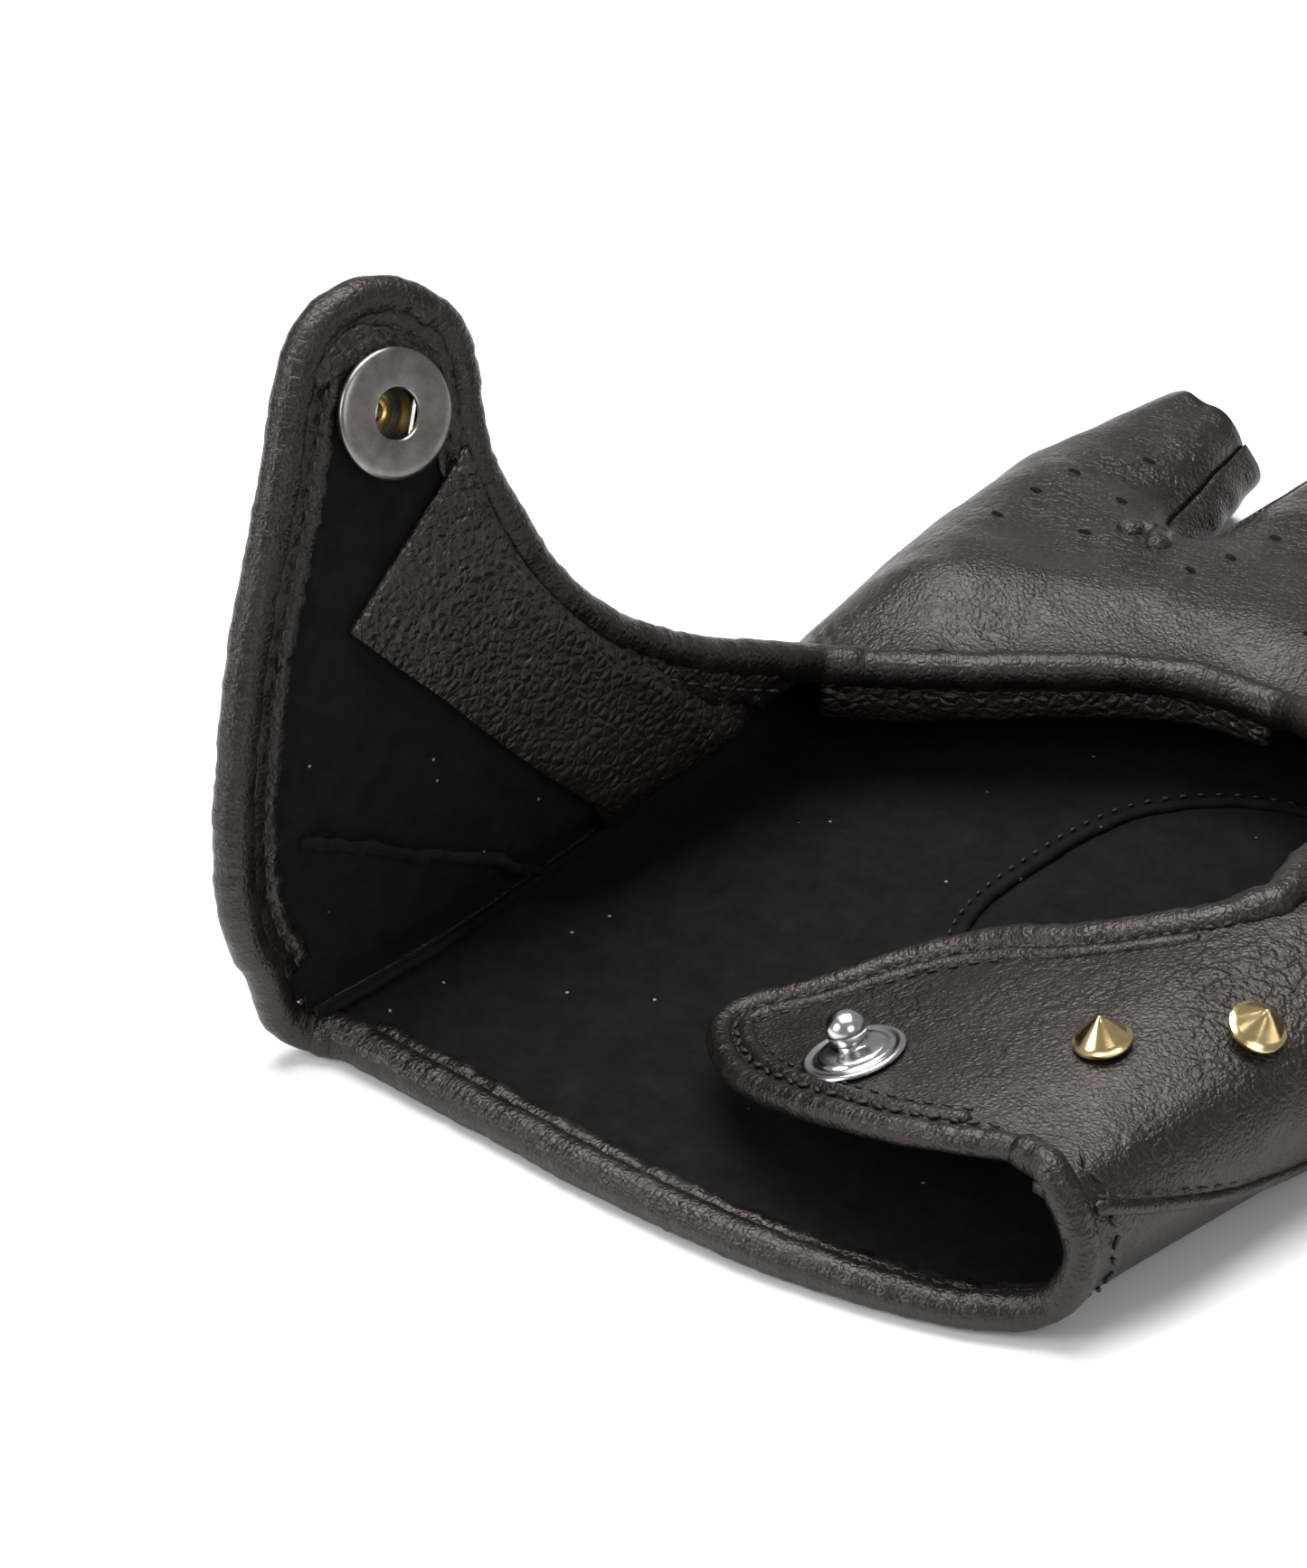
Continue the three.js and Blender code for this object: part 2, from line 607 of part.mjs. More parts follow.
// The leather over the knuckle end of the keyhole goes, however high the crease has risen by there.
function keyholeRoof() {
  return prism(smoothOutline(keyholePlan, 26).reverse(), 0.4 * ARCH_HEIGHT, 60);
}

function wristOpening() {
  const far = 2 * KNUCKLE_WIDTH;
  const edge = smoothOutline(wristPath.slice(0, 7).map((point) => [point.x, point.y]), 30);
  const outline = [new THREE.Vector2(-far, far), new THREE.Vector2(wristPath[0].x, far), ...edge];
  outline.push(new THREE.Vector2(wristPath[6].x, -far), new THREE.Vector2(-far, -far));
  return prism(outline, -10, 60);
}

// The side seams drop from mid height at the wrist to the edge of the palm.
function belowSeam(shift) {
  const line = [
    [-40, 0.8 * MOUTH_HEIGHT], [0.15 * PALM_LENGTH, 0.75 * MOUTH_HEIGHT], [0.43 * PALM_LENGTH, 0.21 * ARCH_HEIGHT],
    [0.96 * PALM_LENGTH, 0.21 * ARCH_HEIGHT], [1.05 * PALM_LENGTH, FINGER_HEIGHT / 2],
    [2 * PALM_LENGTH, FINGER_HEIGHT / 2],
  ];
  const outline = line.map(([x, z]) => new THREE.Vector2(x, z + shift));
  outline.push(new THREE.Vector2(2 * PALM_LENGTH, -20), new THREE.Vector2(-40, -20));
  const depth = 4 * KNUCKLE_WIDTH;
  const geometry = new THREE.ExtrudeGeometry(new THREE.Shape(outline), { depth, bevelEnabled: false });
  return solid(warp(geometry, (point) => point.set(point.x, depth / 2 - point.z, point.y)));
}

function fourchetteBlock(index, margin) {
  const middle = fingerEdges(index).far;
  const half = FINGER_GAP / 2 + LEATHER + FINGER_TAPER + 1.5 + margin;
  const low = 0.28 * KNUCKLE_HEIGHT - margin;
  const high = 0.68 * KNUCKLE_HEIGHT + margin;
  const geometry = new THREE.BoxGeometry(80, 2 * half, high - low);
  const start = PALM_LENGTH - FINGER_ROOT + 1 - margin;
  return solid(geometry.translate(start + 40, middle, (low + high) / 2));
}

function gussetBlock(margin) {
  const geometry = new THREE.CylinderGeometry(1, 1, 12, 40).rotateX(Math.PI / 2);
  geometry.scale(THUMB_INSET.x + margin, THUMB_INSET.y + margin, 1);
  return solid(geometry.translate(THUMB_ROOT.x + 6, THUMB_ROOT.y + 8, 0));
}

const outerHand = handSolid(0);
const innerHand = handSolid(LEATHER);
const thumbCavity = thumbTube(LEATHER);
const keyholeCut = keyholeOpening();
const cone2Place = placeOnShoulder(0.4 * PALM_LENGTH, SHOULDER_CONE_TURN);

let shell = outerHand.subtract(innerHand).subtract(keyholeCut).subtract(keyholeRoof()).subtract(wristOpening());
shell = shell.subtract(roll(wristPath, WRIST_ROLL + GAP, 26, 8));
shell = shell.subtract(roll(cornerPath, WRIST_ROLL + GAP, 4, 8));
shell = shell.subtract(roll(keyholePath, KEYHOLE_ROLL + GAP, 26, 8));
shell = shell.subtract(thumbCavity);

const fourchettes = [0, 1, 2].map((index) => shell.intersect(fourchetteBlock(index, 0)));
for (const index of [0, 1, 2]) shell = shell.subtract(fourchetteBlock(index, GAP));

const palmAll = shell.intersect(belowSeam(0));
const back = cutAt(shell.subtract(belowSeam(GAP)), cone2Place, RIVET_HOLE);
const gusset = palmAll.intersect(gussetBlock(0));
const palm = palmAll.subtract(gussetBlock(GAP));

// Grows the outer hand a little so that the thumb stops short of it.
const thumb = thumbTube(0).subtract(thumbCavity).subtract(handSolid(-GAP));

addPiece(assembly, 'palm_panel', palm, blackLeather);
addPiece(assembly, 'back_panel', back, blackLeather);
addPiece(assembly, 'thumb_gusset', gusset, blackLeather);
addPiece(assembly, 'thumb_panel', thumb, blackLeather);
fourchettes.forEach((shape, index) => {
  addPiece(assembly, `fourchette_${FINGERS[index]}_${FINGERS[index + 1]}`, shape, blackLeather);
});
addPiece(assembly, 'wrist_binding', roll(wristPath, WRIST_ROLL, 26), bindingLeather);
addPiece(assembly, 'corner_binding', roll(cornerPath, WRIST_ROLL, 4), bindingLeather);
addPiece(assembly, 'keyhole_binding', roll(keyholePath, KEYHOLE_ROLL, 26), bindingLeather);
addCone(assembly, cone2Place, 2);

// A strip of grain leather faces the inside of the far keyhole edge.
function keyholeFacing() {
  const seat = LEATHER + GAP;
  const layer = flatTube(handSection, 0, PALM_LENGTH - seat, 14, seat)
    .subtract(flatTube(handSection, -5, PALM_LENGTH + 5, 14, seat + FACING_THICKNESS));
  const edge = smoothOutline(keyholePlan.slice(0, 7), 24);
  const inner = [];
  const outer = [];
  for (let i = 1; i < edge.length - 1; i += 1) {
    const along = edge[i + 1].clone().sub(edge[i - 1]).normalize();
    const outward = new THREE.Vector2(-along.y, along.x);
    inner.push(edge[i].clone().addScaledVector(outward, KEYHOLE_ROLL + 2 * GAP));
    outer.unshift(edge[i].clone().addScaledVector(outward, KEYHOLE_ROLL + 2 * GAP + FACING_WIDTH));
  }
  return layer.intersect(prism(inner.concat(outer), 0.5 * ARCH_HEIGHT, 60));
}
addPiece(assembly, 'keyhole_facing', keyholeFacing(), grainLeather);

// ---- Tab: hinged along the thumb side ----

const hingeDirection = tabHingeWorld[1].clone().sub(tabHingeWorld[0]).normalize();
const hingeUp = tabNormal.clone().projectOnPlane(hingeDirection).normalize();
const hingeAcross = new THREE.Vector3().crossVectors(hingeUp, hingeDirection);
const tabHinge = new THREE.Group();
tabHinge.name = 'tab_hinge';
const hingeFrame = new THREE.Matrix4().makeBasis(hingeDirection, hingeAcross, hingeUp).setPosition(tabHingeWorld[0]);
tabHinge.applyMatrix4(hingeFrame);
assembly.add(tabHinge);
const tab = new THREE.Group();
tab.applyMatrix4(hingeFrame.clone().invert().multiply(tabFrame));
tabHinge.add(tab);

const tabRollPath = smoothOutline(tabOutline, 30).map(({ x, y }) => onTab(x, y, -LEATHER / 2));
const tabEdge = smoothOutline(tabOutline, 34);
tabEdge.push(tabHingeEnd.clone().add(new THREE.Vector2(0, 0.5 * HINGE_CLEARANCE)));
tabEdge.push(tabHingeStart.clone().add(new THREE.Vector2(0, 0.5 * HINGE_CLEARANCE)));
const cone1Place = placeOnTab(0.13 * PALM_LENGTH, 0.47 * nearWrist);

let tabLeather = tabSheet(-LEATHER, 0).intersect(prism(tabEdge, -30, 30));
tabLeather = tabLeather.subtract(roll(tabRollPath, TAB_ROLL + GAP, 34, 6));
tabLeather = cutAt(tabLeather, cone1Place, RIVET_HOLE);
tabLeather = tabLeather.subtract(hole(RIVET_HOLE, -6, 6));

addPiece(tab, 'tab_panel', tabLeather, blackLeather);
addPiece(tab, 'tab_binding', roll(tabRollPath, TAB_ROLL, 34, 8), bindingLeather);
addPiece(tab, 'snap_stud', snapStud(), nickel);
addPiece(tab, 'snap_stud_eyelet', studEyelet(), brass);
addCone(tab, cone1Place, 1);

// ---- Strap: folds about the crease ----

const strap = new THREE.Group();
strap.name = 'strap_hinge';
strap.applyMatrix4(strapFrame);
assembly.add(strap);

const strapPoints = strapOutline();
const strapRollPath = smoothOutline(strapPoints, 36).map(({ x, y }) => onStrap(x, y));
const strapEdge = smoothOutline(strapPoints, 36);
strapEdge.push(new THREE.Vector2(CREASE_LENGTH - 1, -2), new THREE.Vector2(-3, -2));
const conePlaces = [[1.03, 0.69], [1.25, 0.45], [1.53, 0.22]].map(([s, h]) => placeOnStrap(s * snap.x, h * snap.z));

let strapLeather = strapSheet(-LEATHER / 2, LEATHER / 2, GAP, 2 * snap.z).intersect(acrossStrap(strapEdge));
strapLeather = strapLeather.subtract(roll(strapRollPath, STRAP_ROLL + GAP, 36, 8));
strapLeather = strapLeather.subtract(hole(BARREL_RADIUS + GAP, -6, 12).transform(socketInStrap.elements));
for (const place of conePlaces) strapLeather = cutAt(strapLeather, place, RIVET_HOLE);

// The patch covers the backs of the cone studs on the inner face.
const patchFace = -LEATHER / 2 - RIVET_SEAT - RIVET_THICKNESS - GAP;
const patchOutline = [
  [1.18, 0.84], [0.52, 0.66], [0.8, 0.45], [1.08, 0.24], [1.32, 0.06], [2.12, 0.06], [1.78, 0.24],
  [1.5, 0.41], [1.33, 0.56], [1.24, 0.71],
].map(([s, h]) => new THREE.Vector2(s * snap.x, h * snap.z));
const patch = strapSheet(patchFace - PATCH_THICKNESS, patchFace, GAP, 2 * snap.z)
  .intersect(acrossStrap(patchOutline));

addPiece(strap, 'strap_panel', strapLeather, blackLeather);
addPiece(strap, 'strap_binding', roll(strapRollPath, STRAP_ROLL, 36), bindingLeather);
addPiece(strap, 'strap_patch', patch, grainLeather);
conePlaces.forEach((place, index) => addCone(strap, place, index + 3));

const socket = new THREE.Group();
socket.applyMatrix4(socketInStrap);
strap.add(socket);
addPiece(socket, 'snap_socket', snapSocket(), gunmetal);
addPiece(socket, 'snap_cap_post', capPost(), brass);
addPiece(socket, 'snap_cap', snapCap(), gunmetal);

// Two spring wires cross the mouth of the socket and spread when the stud enters.
[['left', 0], ['right', Math.PI]].forEach(([side, turn]) => {
  const slide = new THREE.Group();
  slide.name = `wire_slide_${side}`;
  slide.position.z = chamberLow + WIRE_RADIUS + 0.05;
  slide.rotation.z = THREE.MathUtils.degToRad(35) + turn;
  socket.add(slide);
  const wire = new THREE.CylinderGeometry(WIRE_RADIUS, WIRE_RADIUS, WIRE_LENGTH, 10);
  addPiece(slide, `spring_wire_${side}`, solid(wire.translate(WIRE_OFFSET, 0, 0)), springSteel);
});

// The origin is under the middle of the whole glove, on the table.
assembly.updateMatrixWorld(true);
const extent = new THREE.Box3().setFromObject(assembly, true);
const middle = extent.getCenter(new THREE.Vector3());
assembly.position.set(-middle.x, -middle.y, -extent.min.z);

export default glove;
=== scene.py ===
import json
import math

import bmesh
import bpy
import numpy as np
from mathutils import Matrix, Vector, noise
from mathutils.bvhtree import BVHTree


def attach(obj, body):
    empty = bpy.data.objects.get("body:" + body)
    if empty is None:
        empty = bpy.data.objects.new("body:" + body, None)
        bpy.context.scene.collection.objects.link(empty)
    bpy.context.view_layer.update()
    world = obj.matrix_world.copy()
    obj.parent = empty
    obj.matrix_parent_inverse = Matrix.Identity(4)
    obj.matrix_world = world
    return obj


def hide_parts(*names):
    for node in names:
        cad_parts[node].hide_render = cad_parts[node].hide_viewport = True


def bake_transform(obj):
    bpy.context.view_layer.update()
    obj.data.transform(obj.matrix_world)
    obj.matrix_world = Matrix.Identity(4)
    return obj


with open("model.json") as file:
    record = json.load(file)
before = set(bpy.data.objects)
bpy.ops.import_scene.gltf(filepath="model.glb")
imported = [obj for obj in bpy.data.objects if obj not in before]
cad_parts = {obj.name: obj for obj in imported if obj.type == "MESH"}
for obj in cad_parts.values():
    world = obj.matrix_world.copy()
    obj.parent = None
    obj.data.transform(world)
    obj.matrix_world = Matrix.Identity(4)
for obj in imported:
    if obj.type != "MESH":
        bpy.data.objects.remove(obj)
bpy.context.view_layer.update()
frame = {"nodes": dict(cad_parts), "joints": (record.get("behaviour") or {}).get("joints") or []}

# ---- Shared places. Shapes are worked out in millimetres from the wrist corner of the crease. ----

MM = 0.001
joints = {j["name"]: j for j in frame["joints"]}
CREASE_START = Vector((0, 43, 6.9))
SHIFT = Vector(joints["strap_fold"]["pos_m"]) / MM - CREASE_START
CREASE = Vector(joints["strap_fold"]["axis"]).normalized()
STRAP_UP = (Vector((0, 0, 1)) - CREASE * CREASE.z).normalized()
STRAP_OUT = STRAP_UP.cross(CREASE)
CREASE_LENGTH = 63
CLOSING = math.radians(94)

PALM_LENGTH = 104
LEATHER = 1.2
THUMB_ROOT = Vector((66, -30, 0))
THUMB_TURN = math.radians(50)
THUMB_LENGTH = 48
THUMB_HALF = 15
FINGER_LENGTHS = (34, 39, 36, 27)
FINGER_EDGES = (-45.5, -20.9, 3.8, 28.4, 53.0)
# How far each finger pulls in at its hem, on its thumb side and on its outer side.
FINGER_LEANS = ((1.0, 2.8), (2.0, 2.0), (1.8, -1.8), (8.0, 3.0))

TAB_NORMAL = Matrix.Rotation(math.radians(-18.1), 3, CREASE) @ STRAP_UP
TAB_ACROSS = TAB_NORMAL.cross(CREASE)
STUD_FOOT = Vector((20, -8.1, 13.2))
TAB_CURL = 0.006
TAB_CURL_START = -22

# Where the sheet bodies meet along the hand, and the height of the outer side seam.
SPLIT_X = 62.4
SIDE_SEAM = 4.5


def row(point):
    return (Vector(point) + SHIFT) * MM


def basis(x_axis, y_axis, z_axis, origin):
    m = Matrix((x_axis, y_axis, z_axis)).transposed().to_4x4()
    m.translation = origin
    return m


TAB_FRAME = basis(CREASE, TAB_ACROSS, TAB_NORMAL, STUD_FOOT)
STRAP_FRAME = basis(CREASE, STRAP_OUT, STRAP_UP, CREASE_START)
OPENING = (Matrix.Translation(CREASE_START) @ Matrix.Rotation(-CLOSING, 4, CREASE)
           @ Matrix.Translation(-CREASE_START))
SOCKET_FRAME = OPENING @ TAB_FRAME
SOCKET_IN_STRAP = STRAP_FRAME.inverted() @ SOCKET_FRAME
SNAP = SOCKET_IN_STRAP @ Vector((0, 0, 3.6))
SNAP_NORMAL = SOCKET_IN_STRAP.to_3x3() @ Vector((0, 0, 1))
SNAP_SLOPE = -SNAP_NORMAL.z / SNAP_NORMAL.y
BOW_SQUARE = (3 * SNAP.y - SNAP_SLOPE * SNAP.z) / SNAP.z ** 2
BOW_CUBE = (SNAP_SLOPE * SNAP.z - 2 * SNAP.y) / SNAP.z ** 3


def smoothstep(low, high, x):
    t = min(max((x - low) / (high - low), 0), 1)
    return t * t * (3 - 2 * t)


STATION_X = np.array((0, 15.6, 57.2, 83.2, 104))
STATION_VALUES = {
    "near": (-40.5, -40.5, -44.5, -46.5, -45.5),
    "far": (44.5, 45.5, 52, 53, 53),
    "height": (18, 18, 21.5, 17.8, 14),
    "lean": (3, 9, 20, 9, 2),
}


def section(x):
    """Widths, height and lean of the hand at x, with the stations rounded into each other."""
    spread = np.linspace(x - 9, x + 9, 7)
    return {k: float(np.interp(spread, STATION_X, v).mean()) for k, v in STATION_VALUES.items()}


def smooth_path(points, step):
    """A centripetal Catmull-Rom curve through the points, resampled evenly by length."""
    pts = [Vector(p) if len(p) == 3 else Vector((p[0], p[1], 0)) for p in points]
    pts = [pts[0] * 2 - pts[1]] + pts + [pts[-1] * 2 - pts[-2]]
    dense = []
    for a, b, c, d in zip(pts, pts[1:], pts[2:], pts[3:]):
        t0 = 0
        t1 = t0 + (b - a).length ** 0.5
        t2 = t1 + (c - b).length ** 0.5
        t3 = t2 + (d - c).length ** 0.5
        for i in range(12):
            t = t1 + (t2 - t1) * i / 12
            ab = a * ((t1 - t) / (t1 - t0)) + b * ((t - t0) / (t1 - t0))
            bc = b * ((t2 - t) / (t2 - t1)) + c * ((t - t1) / (t2 - t1))
            cd = c * ((t3 - t) / (t3 - t2)) + d * ((t - t2) / (t3 - t2))
            abc = ab * ((t2 - t) / (t2 - t0)) + bc * ((t - t0) / (t2 - t0))
            bcd = bc * ((t3 - t) / (t3 - t1)) + cd * ((t - t1) / (t3 - t1))
            dense.append(abc * ((t2 - t) / (t2 - t1)) + bcd * ((t - t1) / (t2 - t1)))
    dense.append(pts[-2])
    return resample(dense, step)


def resample(points, step=None, count=None):
    arr = np.array([tuple(p) for p in points], float)
    along = np.concatenate(([0], np.cumsum(np.linalg.norm(np.diff(arr, axis=0), axis=1))))
    count = count or max(int(round(along[-1] / step)) + 1, 4)
    at = np.linspace(0, along[-1], count)
    cols = [np.interp(at, along, arr[:, i]) for i in range(arr.shape[1])]
    return [Vector(p) for p in zip(*cols)]


def heading(path, i):
    """The direction of a path at its point i."""
    return (path[min(i + 1, len(path) - 1)] - path[max(i - 1, 0)]).normalized()


def inside(polygon, x, y):
    hit = False
    j = len(polygon) - 1
    for i in range(len(polygon)):
        xi, yi = polygon[i]
        xj, yj = polygon[j]
        if (yi > y) != (yj > y) and x < (xj - xi) * (y - yi) / (yj - yi) + xi:
            hit = not hit
        j = i
    return hit


def crumple(point, size, seed=0.0):
    """Smooth unevenness from -1 to 1 with features of about the given size in millimetres."""
    return noise.noise(Vector(point) / size + Vector((seed, 2 * seed, -seed)))


# ---- Materials ----


class Finish:
    """A material whose colour, roughness and bump are built up from noise on the piece itself."""

    def __init__(self, name, metallic=0.0):
        self.mat = bpy.data.materials.new(name)
        self.mat.use_nodes = True
        self.nodes = self.mat.node_tree.nodes
        self.links = self.mat.node_tree.links
        self.shader = self.nodes["Principled BSDF"]
        self.shader.inputs["Metallic"].default_value = metallic
        self.last_normal = None

    def space(self, scale, uv=False):
        coord = self.nodes.new("ShaderNodeTexCoord")
        mapping = self.nodes.new("ShaderNodeMapping")
        mapping.inputs["Scale"].default_value = scale
        self.links.new(coord.outputs["UV" if uv else "Object"], mapping.inputs["Vector"])
        return mapping.outputs["Vector"]

    def noise(self, scale, detail=4, roughness=0.55, uv=False):
        tex = self.nodes.new("ShaderNodeTexNoise")
        tex.inputs["Scale"].default_value = 1
        tex.inputs["Detail"].default_value = detail
        tex.inputs["Roughness"].default_value = roughness
        self.links.new(self.space(scale, uv), tex.inputs["Vector"])
        return tex.outputs["Fac"]

    def cells(self, scale, feature="DISTANCE_TO_EDGE", warp=0.0):
        tex = self.nodes.new("ShaderNodeTexVoronoi")
        tex.feature = feature
        tex.inputs["Scale"].default_value = 1
        place = self.space(scale)
        if warp:
            bend = self.nodes.new("ShaderNodeTexNoise")
            bend.inputs["Scale"].default_value = 0.7
            bend.inputs["Detail"].default_value = 3
            self.links.new(place, bend.inputs["Vector"])
            mix = self.nodes.new("ShaderNodeVectorMath")
            mix.operation = "MULTIPLY_ADD"
            mix.inputs[1].default_value = (warp, warp, warp)
            self.links.new(bend.outputs["Color"], mix.inputs[0])
            self.links.new(place, mix.inputs[2])
            place = mix.outputs[0]
        self.links.new(place, tex.inputs["Vector"])
        return tex.outputs["Distance"], tex.outputs.get("Color")

    def ramp(self, value, low, high, to_low=0.0, to_high=1.0):
        node = self.nodes.new("ShaderNodeMapRange")
        node.inputs["From Min"].default_value = low
        node.inputs["From Max"].default_value = high
        node.inputs["To Min"].default_value = to_low
        node.inputs["To Max"].default_value = to_high
        self.links.new(value, node.inputs["Value"])
        return node.outputs["Result"]

    def multiply(self, a, b):
        node = self.nodes.new("ShaderNodeMath")
        node.operation = "MULTIPLY"
        self.links.new(a, node.inputs[0])
        self.links.new(b, node.inputs[1])
        return node.outputs[0]

    def mix_colour(self, fac, a, b):
        node = self.nodes.new("ShaderNodeMix")
        node.data_type = "RGBA"
        for value, socket in ((a, node.inputs[6]), (b, node.inputs[7])):
            if isinstance(value, tuple):
                socket.default_value = (*value, 1)
            else:
                self.links.new(value, socket)
        self.links.new(fac, node.inputs[0])
        return node.outputs[2]

    def colour(self, value):
        if isinstance(value, tuple):
            self.shader.inputs["Base Color"].default_value = (*value, 1)
        else:
            self.links.new(value, self.shader.inputs["Base Color"])

    def roughness(self, value, low, high):
        self.links.new(self.ramp(value, 0.3, 0.7, low, high), self.shader.inputs["Roughness"])

    def bump(self, height, depth_mm, strength=1.0):
        node = self.nodes.new("ShaderNodeBump")
        node.inputs["Distance"].default_value = depth_mm * MM
        node.inputs["Strength"].default_value = strength
        self.links.new(height, node.inputs["Height"])
        if self.last_normal:
            self.links.new(self.last_normal, node.inputs["Normal"])
        self.last_normal = node.outputs["Normal"]
        self.links.new(self.last_normal, self.shader.inputs["Normal"])


def per_mm(value, stretch=(1, 1, 1)):
    return tuple(value * s / MM for s in stretch)


WARM_SHEEN = (0.95, 0.83, 0.77, 1)


def leather_finish(name, dark, light, rough, grain, creases, pore_depth=0.09):
    """Glove leather: fine pores, a web of creases and a slightly rubbed colour."""
    f = Finish(name)
    mottle = f.noise(per_mm(0.12), 5)
    rub = f.noise(per_mm(0.6), 6, 0.65)
    tone = f.mix_colour(f.ramp(mottle, 0.35, 0.68), dark, light)
    warm = tuple(min(c * 1.9, 1) for c in light)
    f.colour(f.mix_colour(f.ramp(rub, 0.6, 0.8, 0, 0.45), tone, warm))
    f.roughness(rub, rough - 0.06, rough + 0.1)
    web, _ = f.cells(per_mm(0.55), warp=1.6)
    where = f.ramp(f.noise(per_mm(0.07), 2), 0.45, 0.62)
    f.bump(f.multiply(f.ramp(web, 0.0, 0.22), where), creases, 0.9)
    pores, _ = f.cells(per_mm(grain), warp=0.9)
    f.bump(f.ramp(pores, 0.0, 0.4), pore_depth, 0.9)
    f.bump(f.noise(per_mm(2.2), 4, 0.6), 0.07, 0.7)
    f.bump(f.noise(per_mm(0.22), 3), 0.5, 0.5)
    f.shader.inputs["Specular IOR Level"].default_value = 0.5
    f.shader.inputs["Specular Tint"].default_value = WARM_SHEEN
    return f.mat


def binding_finish(name, dark, light):
    """Rolled leather, gathered in fine wrinkles across the roll."""
    f = Finish(name)
    rub = f.noise((220, 60, 1), 5, 0.6, uv=True)
    tone = f.mix_colour(f.ramp(rub, 0.4, 0.7), dark, light)
    # Lighter brown patches on the roll: partly rubbed wear, partly a painted highlight standing in for light
    # on the tops of the rolls.
    wear_and_highlight = f.noise(per_mm(0.25), 5, 0.6)
    f.colour(f.mix_colour(f.ramp(wear_and_highlight, 0.55, 0.78, 0, 0.5), tone, tuple(c * 2.2 for c in light)))
    f.roughness(rub, 0.30, 0.5)
    f.bump(f.noise((720, 90, 1), 4, 0.6, uv=True), 0.34, 0.9)
    f.bump(f.noise((230, 60, 1), 3, 0.5, uv=True), 0.6, 0.7)
    pores, _ = f.cells(per_mm(1.4), warp=0.6)
    f.bump(f.ramp(pores, 0.0, 0.3), 0.06, 0.8)
    f.shader.inputs["Specular Tint"].default_value = WARM_SHEEN
    return f.mat


def suede_finish(name):
    """The brushed inner side of the leather, nearly black, with a little pale dust."""
    f = Finish(name)
    nap = f.noise(per_mm(0.35), 6, 0.7)
    tone = f.mix_colour(f.ramp(nap, 0.35, 0.7), (0.0042, 0.0042, 0.0045), (0.0088, 0.0086, 0.0088))
    dust, tint = f.cells(per_mm(0.42), feature="F1")
    split = f.nodes.new("ShaderNodeSeparateColor")
    f.links.new(tint, split.inputs["Color"])
    speck = f.multiply(f.ramp(dust, 0.085, 0.055), f.ramp(split.outputs["Red"], 0.8, 0.82))
    f.colour(f.mix_colour(speck, tone, (0.26, 0.24, 0.21)))
    f.shader.inputs["Roughness"].default_value = 0.95
    f.shader.inputs["Specular IOR Level"].default_value = 0.1
    f.bump(f.noise(per_mm(5.0), 4, 0.7), 0.08, 0.8)
    f.bump(nap, 0.12, 0.6)
    return f.mat


def metal_finish(name, dark, light, rough, scratch=0.02):
    f = Finish(name, metallic=1.0)
    cloud = f.noise(per_mm(0.5), 5, 0.6)
    f.colour(f.mix_colour(f.ramp(cloud, 0.35, 0.7), dark, light))
    fine = f.noise(per_mm(3.0, (1, 1, 4)), 5, 0.7)
    f.roughness(fine, rough - 0.06, rough + 0.09)
    f.bump(fine, scratch, 0.35)
    return f.mat


def thread_finish(name):
    f = Finish(name)
    twist = f.noise(per_mm(2.5), 3)
    f.colour(f.mix_colour(f.ramp(twist, 0.35, 0.7), (0.004, 0.004, 0.004), (0.014, 0.013, 0.012)))
    f.roughness(twist, 0.45, 0.7)
    f.bump(twist, 0.05, 0.8)
    return f.mat


LEATHER_DARK = (0.0040, 0.0029, 0.0025)
LEATHER_LIGHT = (0.0094, 0.0070, 0.0060)
nappa = leather_finish("glove_leather", LEATHER_DARK, LEATHER_LIGHT, 0.38, 1.7, 0.12, 0.06)
grain = leather_finish("grain_leather",
                       (0.0072, 0.0050, 0.0040), (0.0165, 0.0116, 0.0090), 0.38, 0.85, 0.14, 0.26)
rolled = binding_finish("rolled_leather", (0.0036, 0.0027, 0.0023), (0.0090, 0.0067, 0.0058))
suede = suede_finish("suede_side")
thread = thread_finish("black_thread")
gunmetal = metal_finish("warm_gunmetal", (0.19, 0.17, 0.16), (0.30, 0.275, 0.26), 0.30)
nickel = metal_finish("polished_nickel", (0.50, 0.50, 0.50), (0.66, 0.66, 0.66), 0.17)
gold = metal_finish("pale_gold_plate", (0.70, 0.52, 0.24), (0.82, 0.66, 0.36), 0.17)
brass = metal_finish("raw_brass", (0.50, 0.35, 0.11), (0.64, 0.47, 0.18), 0.24)
spring_steel = metal_finish("spring_steel", (0.36, 0.36, 0.36), (0.5, 0.5, 0.5), 0.22)


# ---- Ways of making a piece ----


def finish_mesh(bm, name, materials, smooth=True):
    mesh = bpy.data.meshes.new(name)
    bm.to_mesh(mesh)
    bm.free()
    for m in materials:
        mesh.materials.append(m)
    if smooth:
        mesh.shade_smooth()
    piece = bpy.data.objects.new(name, mesh)
    bpy.context.scene.collection.objects.link(piece)
    return piece


def face_towards(bm, direction):
    bm.normal_update()
    total = Vector((0, 0, 0))
    for f in bm.faces:
        total += f.normal * f.calc_area()
    if total.dot(Vector(direction)) < 0:
        bmesh.ops.reverse_faces(bm, faces=bm.faces[:])
    bm.normal_update()


